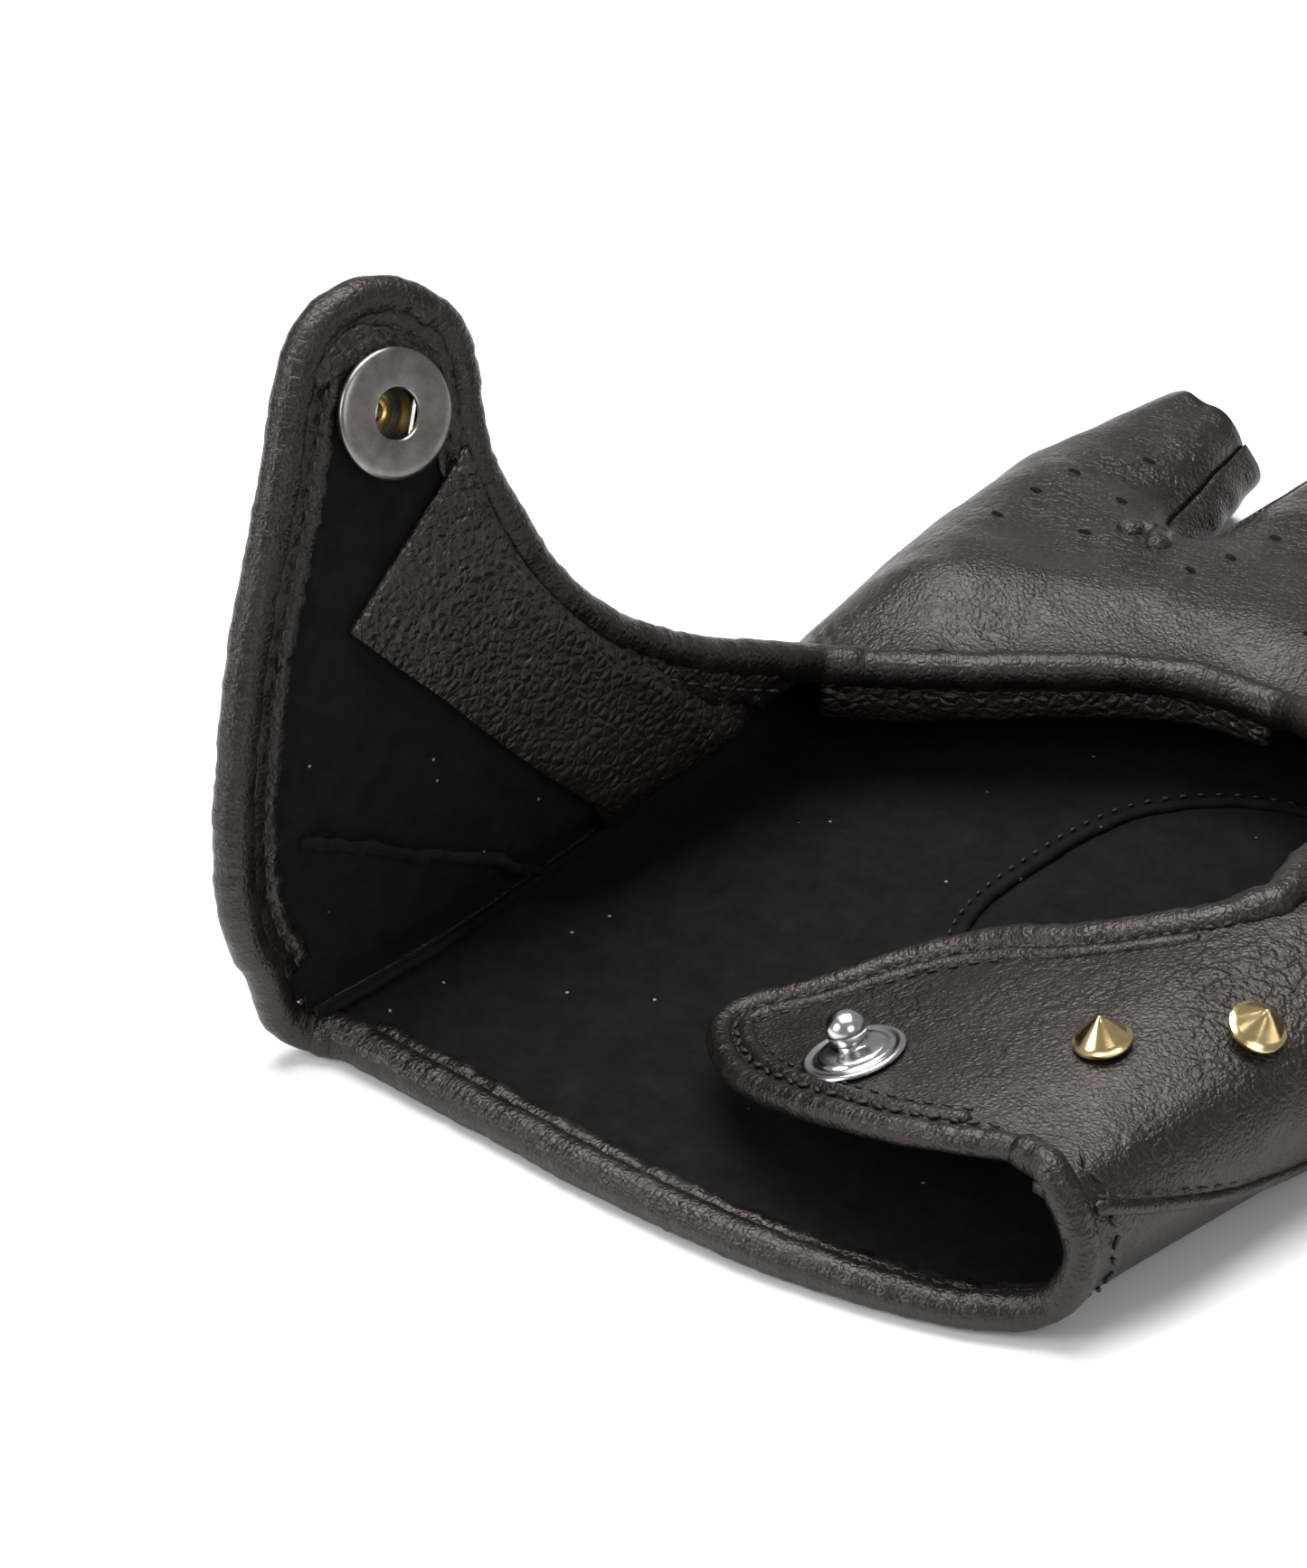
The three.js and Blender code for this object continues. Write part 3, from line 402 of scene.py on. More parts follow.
def placed_grid(columns, rows, place, keep=None):
    """A grid whose points are placed by a rule in millimetres; faces that fail keep are cut away."""
    bm = bmesh.new()
    bmesh.ops.create_grid(bm, x_segments=columns, y_segments=rows, size=0.5)
    uv = bm.loops.layers.uv.new("UVMap")
    plan = {v: (v.co.x + 0.5, v.co.y + 0.5) for v in bm.verts}
    for f in bm.faces:
        for loop in f.loops:
            loop[uv].uv = plan[loop.vert]
    spot = {v: Vector(place(*plan[v])) for v in bm.verts}
    if keep:
        lost = [f for f in bm.faces
                if not keep(sum((spot[v] for v in f.verts), Vector()) / len(f.verts))]
        bmesh.ops.delete(bm, geom=lost, context="FACES")
    for v in bm.verts:
        v.co = row(spot[v])
    return bm


def thicken(piece, thickness, offset=0):
    """Thickness in millimetres: offset 0 grows it both ways, -1 inward only."""
    wall = piece.modifiers.new("thickness", "SOLIDIFY")
    wall.thickness = thickness * MM
    wall.offset = offset
    return wall


def sheet_piece(name, bm, outward, thickness=LEATHER, materials=None):
    """Gives a sheet its thickness: leather outside, suede inside."""
    face_towards(bm, outward)
    piece = finish_mesh(bm, name, materials or (nappa, suede))
    wall = thicken(piece, thickness, -1)
    wall.material_offset = 1 if len(piece.data.materials) > 1 else 0
    return piece


def roll_bm(points, radius, sides=16, step=0.8, wrinkle=0.05, seed=1.0, end_radius=None):
    """A round roll along a path, with closed rounded ends and fine wrinkles across it."""
    path = smooth_path(points, step)
    n = len(path) - 1
    tangents = [heading(path, i) for i in range(n + 1)]
    side = tangents[0].orthogonal().normalized()
    sides_at = []
    for t in tangents:
        side = (side - t * side.dot(t)).normalized()
        sides_at.append(side.copy())
    along = np.concatenate(([0], np.cumsum([(b - a).length for a, b in zip(path, path[1:])])))
    length = float(along[-1])
    bm = bmesh.new()
    bmesh.ops.create_grid(bm, x_segments=sides, y_segments=n, size=0.5)
    uv = bm.loops.layers.uv.new("UVMap")
    plan = {v: (v.co.x + 0.5, v.co.y + 0.5) for v in bm.verts}
    for f in bm.faces:
        for loop in f.loops:
            u, w = plan[loop.vert]
            loop[uv].uv = (w * length * MM, u * 2 * math.pi * radius * MM)
    for v in bm.verts:
        u, w = plan[v]
        i = int(round(w * n))
        d = min(along[i], length - along[i])
        full = radius + ((end_radius or radius) - radius) * smoothstep(0.45, 0.85, i / n)
        size = full * math.sqrt(max(1 - (1 - min(d / full, 1)) ** 2, 0))
        angle = 2 * math.pi * (u % 1)
        across = tangents[i].cross(sides_at[i])
        ring = sides_at[i] * math.cos(angle) + across * math.sin(angle)
        where = (along[i] / 1.1, math.cos(angle) * 0.7 + seed, math.sin(angle) * 0.7)
        swell = 1 + wrinkle * noise.noise(Vector(where)) + 0.4 * wrinkle * noise.noise(Vector(where) * 0.25)
        v.co = row(path[i] + ring * size * swell)
    bmesh.ops.remove_doubles(bm, verts=bm.verts[:], dist=0.00001)
    bmesh.ops.recalc_face_normals(bm, faces=bm.faces[:])
    return bm


def roll_piece(name, points, radius, **how):
    material = how.pop("material", rolled)
    return finish_mesh(roll_bm(points, radius, **how), name, (material,))


def turned_piece(name, profile, where, material, segments=64):
    """Spins a closed profile of (radius, height) in millimetres about the Z axis of a frame."""
    bm = bmesh.new()
    points = [bm.verts.new((r * MM, 0, h * MM)) for r, h in profile]
    edges = [bm.edges.new((a, b)) for a, b in zip(points, points[1:] + points[:1])]
    bmesh.ops.spin(bm, geom=points + edges, cent=(0, 0, 0), axis=(0, 0, 1), angle=2 * math.pi,
                   steps=segments, use_merge=True, use_duplicate=False)
    bmesh.ops.remove_doubles(bm, verts=bm.verts[:], dist=0.000001)
    bmesh.ops.dissolve_degenerate(bm, edges=bm.edges[:], dist=0.0000005)
    bmesh.ops.recalc_face_normals(bm, faces=bm.faces[:])
    m = where.copy()
    m.translation = row(where.translation)
    bm.transform(m)
    piece = finish_mesh(bm, name, (material,))
    piece.data.set_sharp_from_angle(angle=math.radians(38))
    return piece


def stitch_row(name, points, normals, length=1.5, pitch=2.3, width=0.34, zigzag=0.0):
    """Short black stitches pressed into the leather along a path."""
    arr = np.array([tuple(p) + tuple(q) for p, q in zip(points, normals)])
    spaced = resample_rows(arr, pitch)
    bm = bmesh.new()
    for i in range(len(spaced) - 1):
        a, b = Vector(spaced[i][:3]), Vector(spaced[i + 1][:3])
        up = Vector(spaced[i][3:]).normalized()
        along = (b - a).normalized()
        across = up.cross(along).normalized()
        if zigzag:
            along = (along + across * zigzag * (1 if i % 2 else -1)).normalized()
            across = up.cross(along).normalized()
        m = basis(along, across, up, row((a + b) / 2 + up * 0.03))
        m = m @ Matrix.Diagonal((length / 2, width / 2, width / 2, 1))
        bmesh.ops.create_uvsphere(bm, u_segments=6, v_segments=5, radius=MM, matrix=m)
    return finish_mesh(bm, name, (thread,))


def resample_rows(arr, step):
    along = np.concatenate(([0], np.cumsum(np.linalg.norm(np.diff(arr[:, :3], axis=0), axis=1))))
    count = max(int(along[-1] / step), 2)
    at = np.linspace(0, along[-1], count)
    return np.stack([np.interp(at, along, arr[:, i]) for i in range(arr.shape[1])], axis=1)


def ride(piece, body, slot, *nodes):
    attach(piece, body)
    if nodes:
        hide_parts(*nodes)
    return piece


# ---- Surfaces of the glove ----


def seam_height(x):
    """Height of the near outseam, high at the wrist fold and low along the thumb side."""
    return float(np.interp(x, (0, 15.6, 24, 34, 44.7, 100, 110), (14.4, 14.2, 10.9, 7.2, 4.5, 4.5, 6)))


def tab_drop(q):
    if q > 0:
        return 0.0
    if q > TAB_CURL_START:
        return -TAB_CURL * q * q
    return -TAB_CURL * TAB_CURL_START * (2 * q - TAB_CURL_START)


def on_tab(p, q, lift=0.0):
    return TAB_FRAME @ Vector((p, q, tab_drop(q) + lift))


def tab_at_x(x, q):
    d = tab_drop(q)
    p = (x - STUD_FOOT.x - q * TAB_ACROSS.x - d * TAB_NORMAL.x) / CREASE.x
    return on_tab(p, q)


def back_height(x, y):
    s = section(x)
    r = s["height"] / 2
    for i in range(61):
        a = math.pi / 2 * (1 - i / 30)
        z = r * (1 + math.sin(a))
        if s["far"] - r + r * math.cos(a) - s["lean"] * z / s["height"] >= y:
            return z
    return 0.0


def near_arc(s, seam, top):
    """The rounded thumb side, from the seam up to the given turn; 0 is underneath, pi on top."""
    r = s["height"] / 2
    start = math.acos(max(1 - seam / r, -1))
    turns = np.linspace(start, top, 14)
    return [(s["near"] + r - r * math.sin(a), r - r * math.cos(a)) for a in turns]


def far_arc(s, start, end):
    r = s["height"] / 2
    out = []
    for a in np.linspace(start, end, 14):
        z = r - r * math.cos(a)
        out.append((s["far"] - r + r * math.sin(a) - s["lean"] * z / s["height"], z))
    return out


def palm_section(x):
    s = section(x)
    r = s["height"] / 2
    line = near_arc(s, seam_height(x), 0.0)
    line += far_arc(s, 0.0, math.acos(1 - SIDE_SEAM / r))
    return line


def back_section(x):
    s = section(x)
    r = s["height"] / 2
    line = near_arc(s, seam_height(x), math.pi)
    line += far_arc(s, math.pi, math.acos(1 - SIDE_SEAM / r))
    return line


def tab_section(x):
    s = section(x)
    line = near_arc(s, seam_height(x), 2.55)
    share = smoothstep(44, 62, x)
    height = s["height"]
    for q in np.linspace(-21, 21, 22):
        p = tab_at_x(x, q)
        line.append((p.y, p.z * (1 - share) + height * share))
    for _ in range(3):
        line = [line[0]] + [
            tuple((np.array(a) + 2 * np.array(b) + np.array(c)) / 4)
            for a, b, c in zip(line, line[1:], line[2:])] + [line[-1]]
    return line


section_cache = {}


def on_section(kind, x, w, count):
    key = (kind.__name__, round(x, 3), count)
    if key not in section_cache:
        section_cache[key] = resample([(x, y, z) for y, z in kind(x)], count=count)
    return section_cache[key][int(round(w * (count - 1)))]


def wall_y(x, z):
    s = section(x)
    r = s["height"] / 2
    return s["far"] - r + math.sqrt(max(r * r - (z - r) ** 2, 0)) - s["lean"] * z / s["height"]


def on_strap(s, h, lift=0.0):
    """A point of the strap's outer middle: above the crease it bows out, below it is the far wall."""
    if h >= 0:
        bow = BOW_SQUARE * h * h + BOW_CUBE * h ** 3
        return STRAP_FRAME @ Vector((s, bow + lift, h))
    crease = CREASE_START + CREASE * s
    z = crease.z + h
    inward = crease.y - wall_y(crease.x, crease.z)
    y = wall_y(crease.x, z) + inward * smoothstep(-9, 0, h)
    r = section(crease.x)["height"] / 2
    turn = (z - r) / r
    return Vector((crease.x, y + lift * math.sqrt(max(1 - turn * turn, 0.05)), z + lift * turn))


def strap_normal(s, h):
    e = 0.4
    a = on_strap(s + e, h) - on_strap(s - e, h)
    b = on_strap(s, h + e) - on_strap(s, h - e)
    n = b.cross(a).normalized()
    return n if n.y > 0 else -n


# ---- Outlines ----

WRIST = [(1.3, 38.9, 2.05), (1.6, 26.7, 2), (2.4, 0, 2), (4.9, -17, 2), (9.6, -31.3, 2.2),
         (13.4, -37.3, 3.6), (15, -39.9, 9), (15, -38.3, 14.4), (15, -35.9, 16.9)]

# The far edge lies lower than the back around it, so it has heights of its own.
keyhole_start = CREASE_START + CREASE * (CREASE_LENGTH + 3)
FAR_EDGE = [(keyhole_start.x, keyhole_start.y, 14.0), (69.2, 33.4, 13.3), (75.2, 25.5, 13.6),
            (82, 18.5, 13.5), (88.6, 10, 13.1), (91.4, 1.5, 12.3)]
NEAR_EDGE = [(89.8, -5.2), (84.4, -13.6), (76.4, -20.7), (68.1, -24.4), (62.4, -25.6), (56.7, -26.3)]
KEYHOLE = [(x, y) for x, y, _ in FAR_EDGE] + NEAR_EDGE
edge_drops = [back_height(x, y) - 0.6 - z for x, y, z in FAR_EDGE] + [1.6, 0.5, 0, 0, 0, 0]
edge_samples = smooth_path([(x, y, drop) for (x, y), drop in zip(KEYHOLE, edge_drops)], 1.5)


def edge_sag(x, y):
    """How far the leather beside the keyhole hangs below the plain shape of the back."""
    near_by = min(edge_samples, key=lambda e: (e.x - x) ** 2 + (e.y - y) ** 2)
    away = math.hypot(near_by.x - x, near_by.y - y)
    ends = smoothstep(62.4, 68, x) * (1 - smoothstep(92, PALM_LENGTH, x))
    return near_by.z * (1 - smoothstep(1, 15, away)) * ends


keyhole_path = [Vector((x, y, back_height(x, y) - 0.6 - drop)) for (x, y), drop in zip(KEYHOLE, edge_drops)]
keyhole_plan = [(p.x, p.y) for p in smooth_path(KEYHOLE, 1.0)]

TAB = [(-2.1, -28.2), (-1.6, -25.6), (-2.0, -22.9), (-4.3, -18.2), (-7, -10.1), (-7.7, 2), (-6.4, 9.84),
       (-2.5, 17.1), (0.7, 19.67), (3.6, 18.7), (8.2, 14.4), (15, 9.84), (20.7, 3.54),
       (24.6, -4.46), (30.7, -11.3), (35.8, -15), (38, -15.6)]
tab_plan = [on_tab(p.x, p.y).xy for p in smooth_path(TAB, 1.0)]

STRAP_TIP_RADIUS = 10
strap_outline = [(-3.4, 2.2), (-5.2, 0.16 * SNAP.z), (-5.5, 0.27 * SNAP.z), (-3.4, 0.455 * SNAP.z),
                 (0.12 * SNAP.x, 0.73 * SNAP.z), (0.49 * SNAP.x, 0.99 * SNAP.z)]
for degrees in (148, 122, 96, 70, 44, 18):
    a = math.radians(degrees)
    strap_outline.append((SNAP.x + STRAP_TIP_RADIUS * math.cos(a), SNAP.z + STRAP_TIP_RADIUS * math.sin(a)))
for along, up in ((-0.02, 0.85), (0.02, 0.71), (0.1, 0.555), (0.25, 0.408), (0.47, 0.277), (0.74, 0.161),
                  (1, 0.07)):
    waist = SNAP.x + 8
    strap_outline.append((waist + (CREASE_LENGTH - 2.5 - waist) * along, up * SNAP.z))
strap_edge = smooth_path(strap_outline, 0.8)

# Everything inside this outline is open when seen from above.
wall_end = SPLIT_X - 0.2
open_plan = ([(-60, 70), (wall_end, 70), (wall_end, keyhole_start.y + 0.9)] + keyhole_plan
             + [tuple(p) for p in reversed(tab_plan)] + [(13.5, -35), (13.5, -60), (-60, -60)])


def in_thumb(point, inset):
    """Whether a point lies inside the thumb tube, pulled in by inset."""
    local = Matrix.Rotation(THUMB_TURN, 3, "Z") @ (Vector(point) - THUMB_ROOT)
    half = THUMB_HALF - 1.5 * min(max(local.x / THUMB_LENGTH, 0), 1) - inset
    if local.x < 10 or abs(local.y) > half:
        return False
    r = 8 - inset
    side = max(abs(local.y) - (half - r), 0)
    return (local.z - 8) ** 2 + side ** 2 < r * r


def in_hand(point, inset):
    s = section(point.x)
    r = s["height"] / 2 - inset
    z = point.z - inset
    if z < 0 or z > 2 * r or point.x > PALM_LENGTH:
        return False
    w = math.sqrt(max(r * r - (z - r) ** 2, 0))
    low = s["near"] + inset + r - w
    high = s["far"] - inset - r + w - s["lean"] * point.z / s["height"]
    return low < point.y < high


# ---- Hand: palm, back and fingers ----

COLUMNS = 130
TABLE_GAP = 0.05
wrist_y = [p[1] for p in reversed(WRIST[:7])] + [40.5, 46]
wrist_x = [p[0] for p in reversed(WRIST[:7])] + [-1.0, -1.0]


def keep_palm(p):
    if p.x < float(np.interp(p.y, wrist_y, wrist_x)) + 0.3:
        return False
    return not in_thumb(p, 1.0)


def keep_back(p):
    return not inside(open_plan, p.x, p.y) and not in_thumb(p, 1.0)


def relief(p, amount=0.35):
    """Slack in the leather: broad soft waves."""
    return amount * crumple(p, 11, 3.0) + 0.4 * amount * crumple(p, 4.2, 7.0)


def place_palm(u, w):
    p = on_section(palm_section, u * PALM_LENGTH, w, COLUMNS + 1).copy()
    # The thin layers stay clear of the table.
    p.z += TABLE_GAP
    return p


def finger_band(kind, index):
    """The columns of the row over the knuckles that run on into one finger."""
    ys = [p.y for p in resample([(PALM_LENGTH, y, z) for y, z in kind(PALM_LENGTH)], count=COLUMNS + 1)]
    first = 0 if index == 0 else int(np.argmin([abs(y - FINGER_EDGES[index]) for y in ys]))
    last = COLUMNS if index == 3 else int(np.argmin([abs(y - FINGER_EDGES[index + 1]) for y in ys]))
    return first, last


def finger_ring(index, x, upper, turn_start, turn_end, count):
    along = (x - PALM_LENGTH) / FINGER_LENGTHS[index]
    near = FINGER_EDGES[index] + (0.5 if index == 0 else 1.2) + FINGER_LEANS[index][0] * along
    far = FINGER_EDGES[index + 1] - (0.5 if index == 3 else 1.2) - FINGER_LEANS[index][1] * along
    b = 7 - along
    c, a = (near + far) / 2, (far - near) / 2
    pts = []
    for t in np.linspace(turn_start, turn_end, 60):
        cs, sn = math.cos(t), math.sin(t)
        y = c + a * math.copysign(abs(sn) ** 0.72, sn)
        z = b + (b if upper else -b) * math.copysign(abs(cs) ** 0.72, cs)
        pts.append((x, y, max(z, 0.05)))
    return resample(pts, count=count)


def finger_sheet(kind, index, upper):
    first, last = finger_band(kind, index)
    base = resample([(PALM_LENGTH, y, z) for y, z in kind(PALM_LENGTH)], count=COLUMNS + 1)[first:last + 1]
    if not upper:
        for b in base:
            b.z += TABLE_GAP
    n = last - first
    edge = math.radians(68)
    outer = math.radians(92)
    left = -outer if index == 0 else -edge
    right = outer if index == 3 else edge
    length = FINGER_LENGTHS[index]
    rows_n = int(length / 1.1)

    def place(u, w):
        x = PALM_LENGTH + w * length
        ring = finger_ring(index, x, upper, left, right, n + 1)
        i = int(round(u * n))
        share = smoothstep(0, 9.5, x - PALM_LENGTH)
        p = base[i].lerp(ring[i], share)
        p.x = x
        if upper:
            p.z += 0.3 * crumple((x, p.y, 0), 4.5, index) * share
            hem = smoothstep(length - 5, length, x - PALM_LENGTH)
            p.z += 0.35 * hem * crumple((x * 0.4, p.y, 5), 2.6, index)
            p.x += 0.9 * hem * crumple((0, p.y, 9), 6, index)
        return p

    return placed_grid(n, rows_n, place), place, n


def merge_bm(parts):
    """Joins bmeshes into the first and merges the edges they share."""
    whole = parts[0]
    for extra in parts[1:]:
        mesh = bpy.data.meshes.new("part")
        extra.to_mesh(mesh)
        extra.free()
        whole.from_mesh(mesh)
        bpy.data.meshes.remove(mesh)
    bmesh.ops.remove_doubles(whole, verts=whole.verts[:], dist=0.00003)
    return whole


def join_bm(parts):
    """Merges bmeshes and turns all their faces the same way."""
    whole = merge_bm(parts)
    bmesh.ops.recalc_face_normals(whole, faces=whole.faces[:])
    return whole


finger_places = {}
palm_parts = [placed_grid(96, COLUMNS, place_palm, keep_palm)]
for i in range(4):
    sheet, place, n = finger_sheet(palm_section, i, False)
    finger_places[("palm", i)] = place
    palm_parts.append(sheet)
palm = sheet_piece("palm_leather", join_bm(palm_parts), (0, 0, -1))
ride(palm, "hand", "leather_black", "palm_panel", "thumb_gusset")


def place_back(u, w):
    x = SPLIT_X + u * (PALM_LENGTH - SPLIT_X)
    p = on_section(back_section, x, w, COLUMNS + 1).copy()
    sag = edge_sag(x, p.y) * smoothstep(5, 12, p.z)
    p.z += relief(p, 0.45) * smoothstep(5, 11, p.z) * (1 - smoothstep(96, PALM_LENGTH, x)) - sag
    return p


back_parts = [placed_grid(40, COLUMNS, place_back, keep_back)]
for i in range(4):
    sheet, place, n = finger_sheet(back_section, i, True)
    finger_places[("back", i)] = place
    back_parts.append(sheet)
back = sheet_piece("back_leather", join_bm(back_parts), (0, 0, 1))
ride(back, "hand", "leather_black", "back_panel")

# Fourchettes: a rolled strip down each side of the slits between the fingers.
NAMES = ("index", "middle", "ring", "little")
for k in range(3):
    strips = []
    for index, side in ((k, 1), (k + 1, 0)):
        length = FINGER_LENGTHS[index]
        top = finger_places[("back", index)]
        low = finger_places[("palm", index)]
        lean = 1 if side else -1

        def place(u, w, top=top, low=low, side=side, lean=lean):
            a, b = top(side, w), low(side, w)
            p = a.lerp(b, u)
            bulge = smoothstep(0, 0.25, w) * math.sin(math.pi * u)
            p.y += lean * bulge * (1.9 + 0.6 * crumple((p.x, u * 6, k), 3.0, 5.0))
            p.x = a.x + (b.x - a.x) * u
            return p

        strips.append(placed_grid(14, int(length / 1.1), place))
    piece = finish_mesh(merge_bm(strips), f"fourchette_{NAMES[k]}_{NAMES[k + 1]}_leather", (nappa,))
    thicken(piece, 0.8)
    ride(piece, "hand", "leather_black", f"fourchette_{NAMES[k]}_{NAMES[k + 1]}")
    # The strip is gathered into a small knot where the slit starts.
    centre = FINGER_EDGES[k + 1]
    knot = [(102.2, centre - 2.2, 13.9), (104.0, centre - 1.5, 14.0), (105.8, centre, 13.6),
            (104.6, centre + 1.7, 14.1), (102.6, centre + 2.4, 14.0)]
    piece = roll_piece(f"slit_knot_{k + 1}", knot, 1.35, wrinkle=0.3, step=0.4, material=nappa, seed=k)
    ride(piece, "hand", "leather_black")


# Small slots are punched through the leather over the knuckles.
bm = bmesh.new()
bm.from_mesh(back.data)
back_surface = BVHTree.FromBMesh(bm)
bm.free()
PUNCHED = ((109, 42), (103, 42), (96, 41), (117, 39), (108, 35), (100, 33), (114, 20), (107, 20), (102, 21),
           (101, 5), (108, 3), (96, -18), (103, -16), (110, -18))
bm = bmesh.new()
for number, (x, y) in enumerate(PUNCHED):
    hit, up, _, _ = back_surface.ray_cast(row((x, y, 60)), Vector((0, 0, -1)))
    if hit is None:
        continue
    up = up if up.z > 0 else -up
    along = (Matrix.Rotation(0.7 * crumple((number * 3.1, 0, 0), 1, 5.0), 3, up) @ Vector((0, 1, 0)))
    along = (along - up * along.dot(up)).normalized()
    m = basis(along, up.cross(along), up, hit) @ Matrix.Diagonal((0.75, 0.42, 0.16, 1))
    bmesh.ops.create_uvsphere(bm, u_segments=12, v_segments=8, radius=MM, matrix=m)
punched = finish_mesh(bm, "knuckle_punched_slots", (suede,))
ride(punched, "hand", "leather_black")


# Thumb: a short tube set into the near side.
def place_thumb(u, w):
    along = 10 + 38 * w
    half = THUMB_HALF - 1.5 * along / THUMB_LENGTH
    flare = 1 + 0.04 * (1 - smoothstep(0, 0.4, w))
    a = 2 * math.pi * u
    y = half * math.copysign(abs(math.cos(a)) ** 0.75, math.cos(a)) * flare
    z = 8 + 8 * math.copysign(abs(math.sin(a)) ** 0.75, math.sin(a))
    hem = smoothstep(0.9, 1, w)
    local = Vector((along + 0.7 * hem * crumple((y, z, 0), 6, 2.0), y, max(z, 0.05)))
    local.z += 0.35 * crumple(local, 7, 4.0) * smoothstep(2, 8, z)
    return Matrix.Rotation(-THUMB_TURN, 3, "Z") @ local + THUMB_ROOT


bm = placed_grid(84, 40, place_thumb, lambda p: not in_hand(p, 0.5))
bmesh.ops.remove_doubles(bm, verts=bm.verts[:], dist=0.00003)
bmesh.ops.recalc_face_normals(bm, faces=bm.faces[:])
# An open tube has no inside to go by, so the outside is set from its own axis.
probe = max(bm.faces, key=lambda f: f.calc_center_median().z)
if probe.normal.z < 0:
    bmesh.ops.reverse_faces(bm, faces=bm.faces[:])
thumb = finish_mesh(bm, "thumb_leather", (nappa, suede))
thicken(thumb, LEATHER, -1).material_offset = 1
ride(thumb, "hand", "leather_black", "thumb_panel")

# ---- Tab and thumb side, one sheet that bends at the tab's root ----

TAB_X = 11.0
TAB_COLUMNS = 92


def place_tab(u, w):
    x = TAB_X + u * (SPLIT_X - TAB_X)
    p = on_section(tab_section, x, w, TAB_COLUMNS + 1).copy()
    p.z += 0.3 * relief(p, 0.6) * smoothstep(6, 12, p.z)
    return p


bm = placed_grid(66, TAB_COLUMNS, place_tab, keep_back)
tab = sheet_piece("tab_leather", bm, (0, -0.3, 1))
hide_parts("tab_panel")
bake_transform(tab)


def tab_line(offset, step=0.8, lift=0.0, trim=(0, 0)):
    """A line on the tab, moved in from its edge."""
    path = smooth_path(TAB, step)
    out = []
    for i, p in enumerate(path):
        t = heading(path, i)
        inward = Vector((t.y, -t.x, 0))
        q = p + inward * offset
        out.append((q.x, q.y))
    out = out[trim[0]:len(out) - trim[1]]
    return [on_tab(p, q, lift) for p, q in out]


piece = roll_piece("tab_edge_roll", tab_line(0, lift=-0.5)[::3], 1.35, seed=4.0, wrinkle=0.1, end_radius=1.9)
ride(piece, "tab", "leather_binding", "tab_binding")
cord_line = tab_line(2.6, lift=-0.3, trim=(12, 6))[::3]
piece = roll_piece("tab_inner_cord", cord_line, 0.85, seed=9.0, wrinkle=0.12, material=nappa)
ride(piece, "tab", "leather_black")
line = tab_line(1.7, lift=0.2, trim=(8, 2))
piece = stitch_row("tab_stitches", line, [TAB_NORMAL] * len(line), length=1.5, pitch=1.9, width=0.5,
                   zigzag=0.35)
ride(piece, "tab", "leather_black")
line = tab_line(3.8, lift=0.05, trim=(12, 30))
piece = stitch_row("tab_inner_stitches", line, [TAB_NORMAL] * len(line), length=1.2, pitch=1.9, width=0.32)
ride(piece, "tab", "leather_black")

# ---- Strap and far wall, one sheet that bends at the crease ----

WALL_ROWS = 12
# The wall runs on below the side seam, under the edge of the palm.
WALL_TUCK = 2.6
STRAP_ROWS = 76
STRAP_S = (-8.0, 63.05)
STRAP_TOP = 60.0


def place_strap(u, w):
    s = STRAP_S[0] + u * (STRAP_S[1] - STRAP_S[0])
    i = w * (WALL_ROWS + STRAP_ROWS)
    if i < WALL_ROWS:
        low = -(CREASE_START.z + CREASE.z * s - SIDE_SEAM + WALL_TUCK)
        h = low * (1 - i / WALL_ROWS)
    else:
        h = STRAP_TOP * (i - WALL_ROWS) / STRAP_ROWS
    p = on_strap(s, h, LEATHER / 2)
    wave = 0.5 * crumple((s, h, 0), 15, 1.0) + 0.18 * crumple((s, h, 0), 4.5, 6.0)
    return p + STRAP_OUT * wave * smoothstep(3, 12, h)


strap_polygon = [(p.x, p.y) for p in strap_edge] + [(CREASE_LENGTH + 1, 2.5), (CREASE_LENGTH + 1, -12),
                                                    (-0.6, -12), (-1.0, 0), (-3.4, 0.5)]


def keep_strap(p):
    local = STRAP_FRAME.inverted() @ p
    h = local.z if local.z > 0 else p.z - (CREASE_START.z + CREASE.z * local.x)
    if math.hypot(local.x - SNAP.x, local.z - SNAP.z) < 3.6 and h > 0:
        return False
    return inside(strap_polygon, local.x, h)


bm = placed_grid(84, WALL_ROWS + STRAP_ROWS, place_strap, keep_strap)
strap = sheet_piece("strap_leather", bm, tuple(STRAP_OUT))


def bend_with_strap(piece, slot, *nodes):
    if nodes:
        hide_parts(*nodes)
    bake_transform(piece)
    return piece


bend_with_strap(strap, "leather_black", "strap_panel")


def strap_line(offset, lift, first=0, last=None):
    """A line on the inner face of the strap, moved in from its edge."""
    path = strap_edge[first:last]
    points, normals = [], []
    for i, p in enumerate(path):
        t = heading(path, i)
        inward = Vector((t.y, -t.x, 0))
        q = p + inward * offset
        n = strap_normal(q.x, q.y)
        points.append(on_strap(q.x, q.y) - n * lift)
        normals.append(-n)
    return points, normals


points, _ = strap_line(0, 0)
far_end = Vector(keyhole_path[0])
from_wrist = [Vector((1.4, 37.2, 2.05)), Vector((1.0, 39.9, 2.1)), Vector((-0.9, 42.0, 2.5)),
              Vector((-2.7, 43.1, 4.6))]
to_keyhole = [points[-1].lerp(far_end, 0.4), far_end, far_end.lerp(keyhole_path[1], 0.5), keyhole_path[1]]
points = from_wrist + points[3:-1:4] + to_keyhole
piece = roll_piece("strap_edge_roll", points, 1.95, seed=2.0, wrinkle=0.1, sides=18)
bend_with_strap(piece, "leather_binding", "strap_binding")

# The turned-in edge of the binding lies flat inside the strap, and is stitched down.


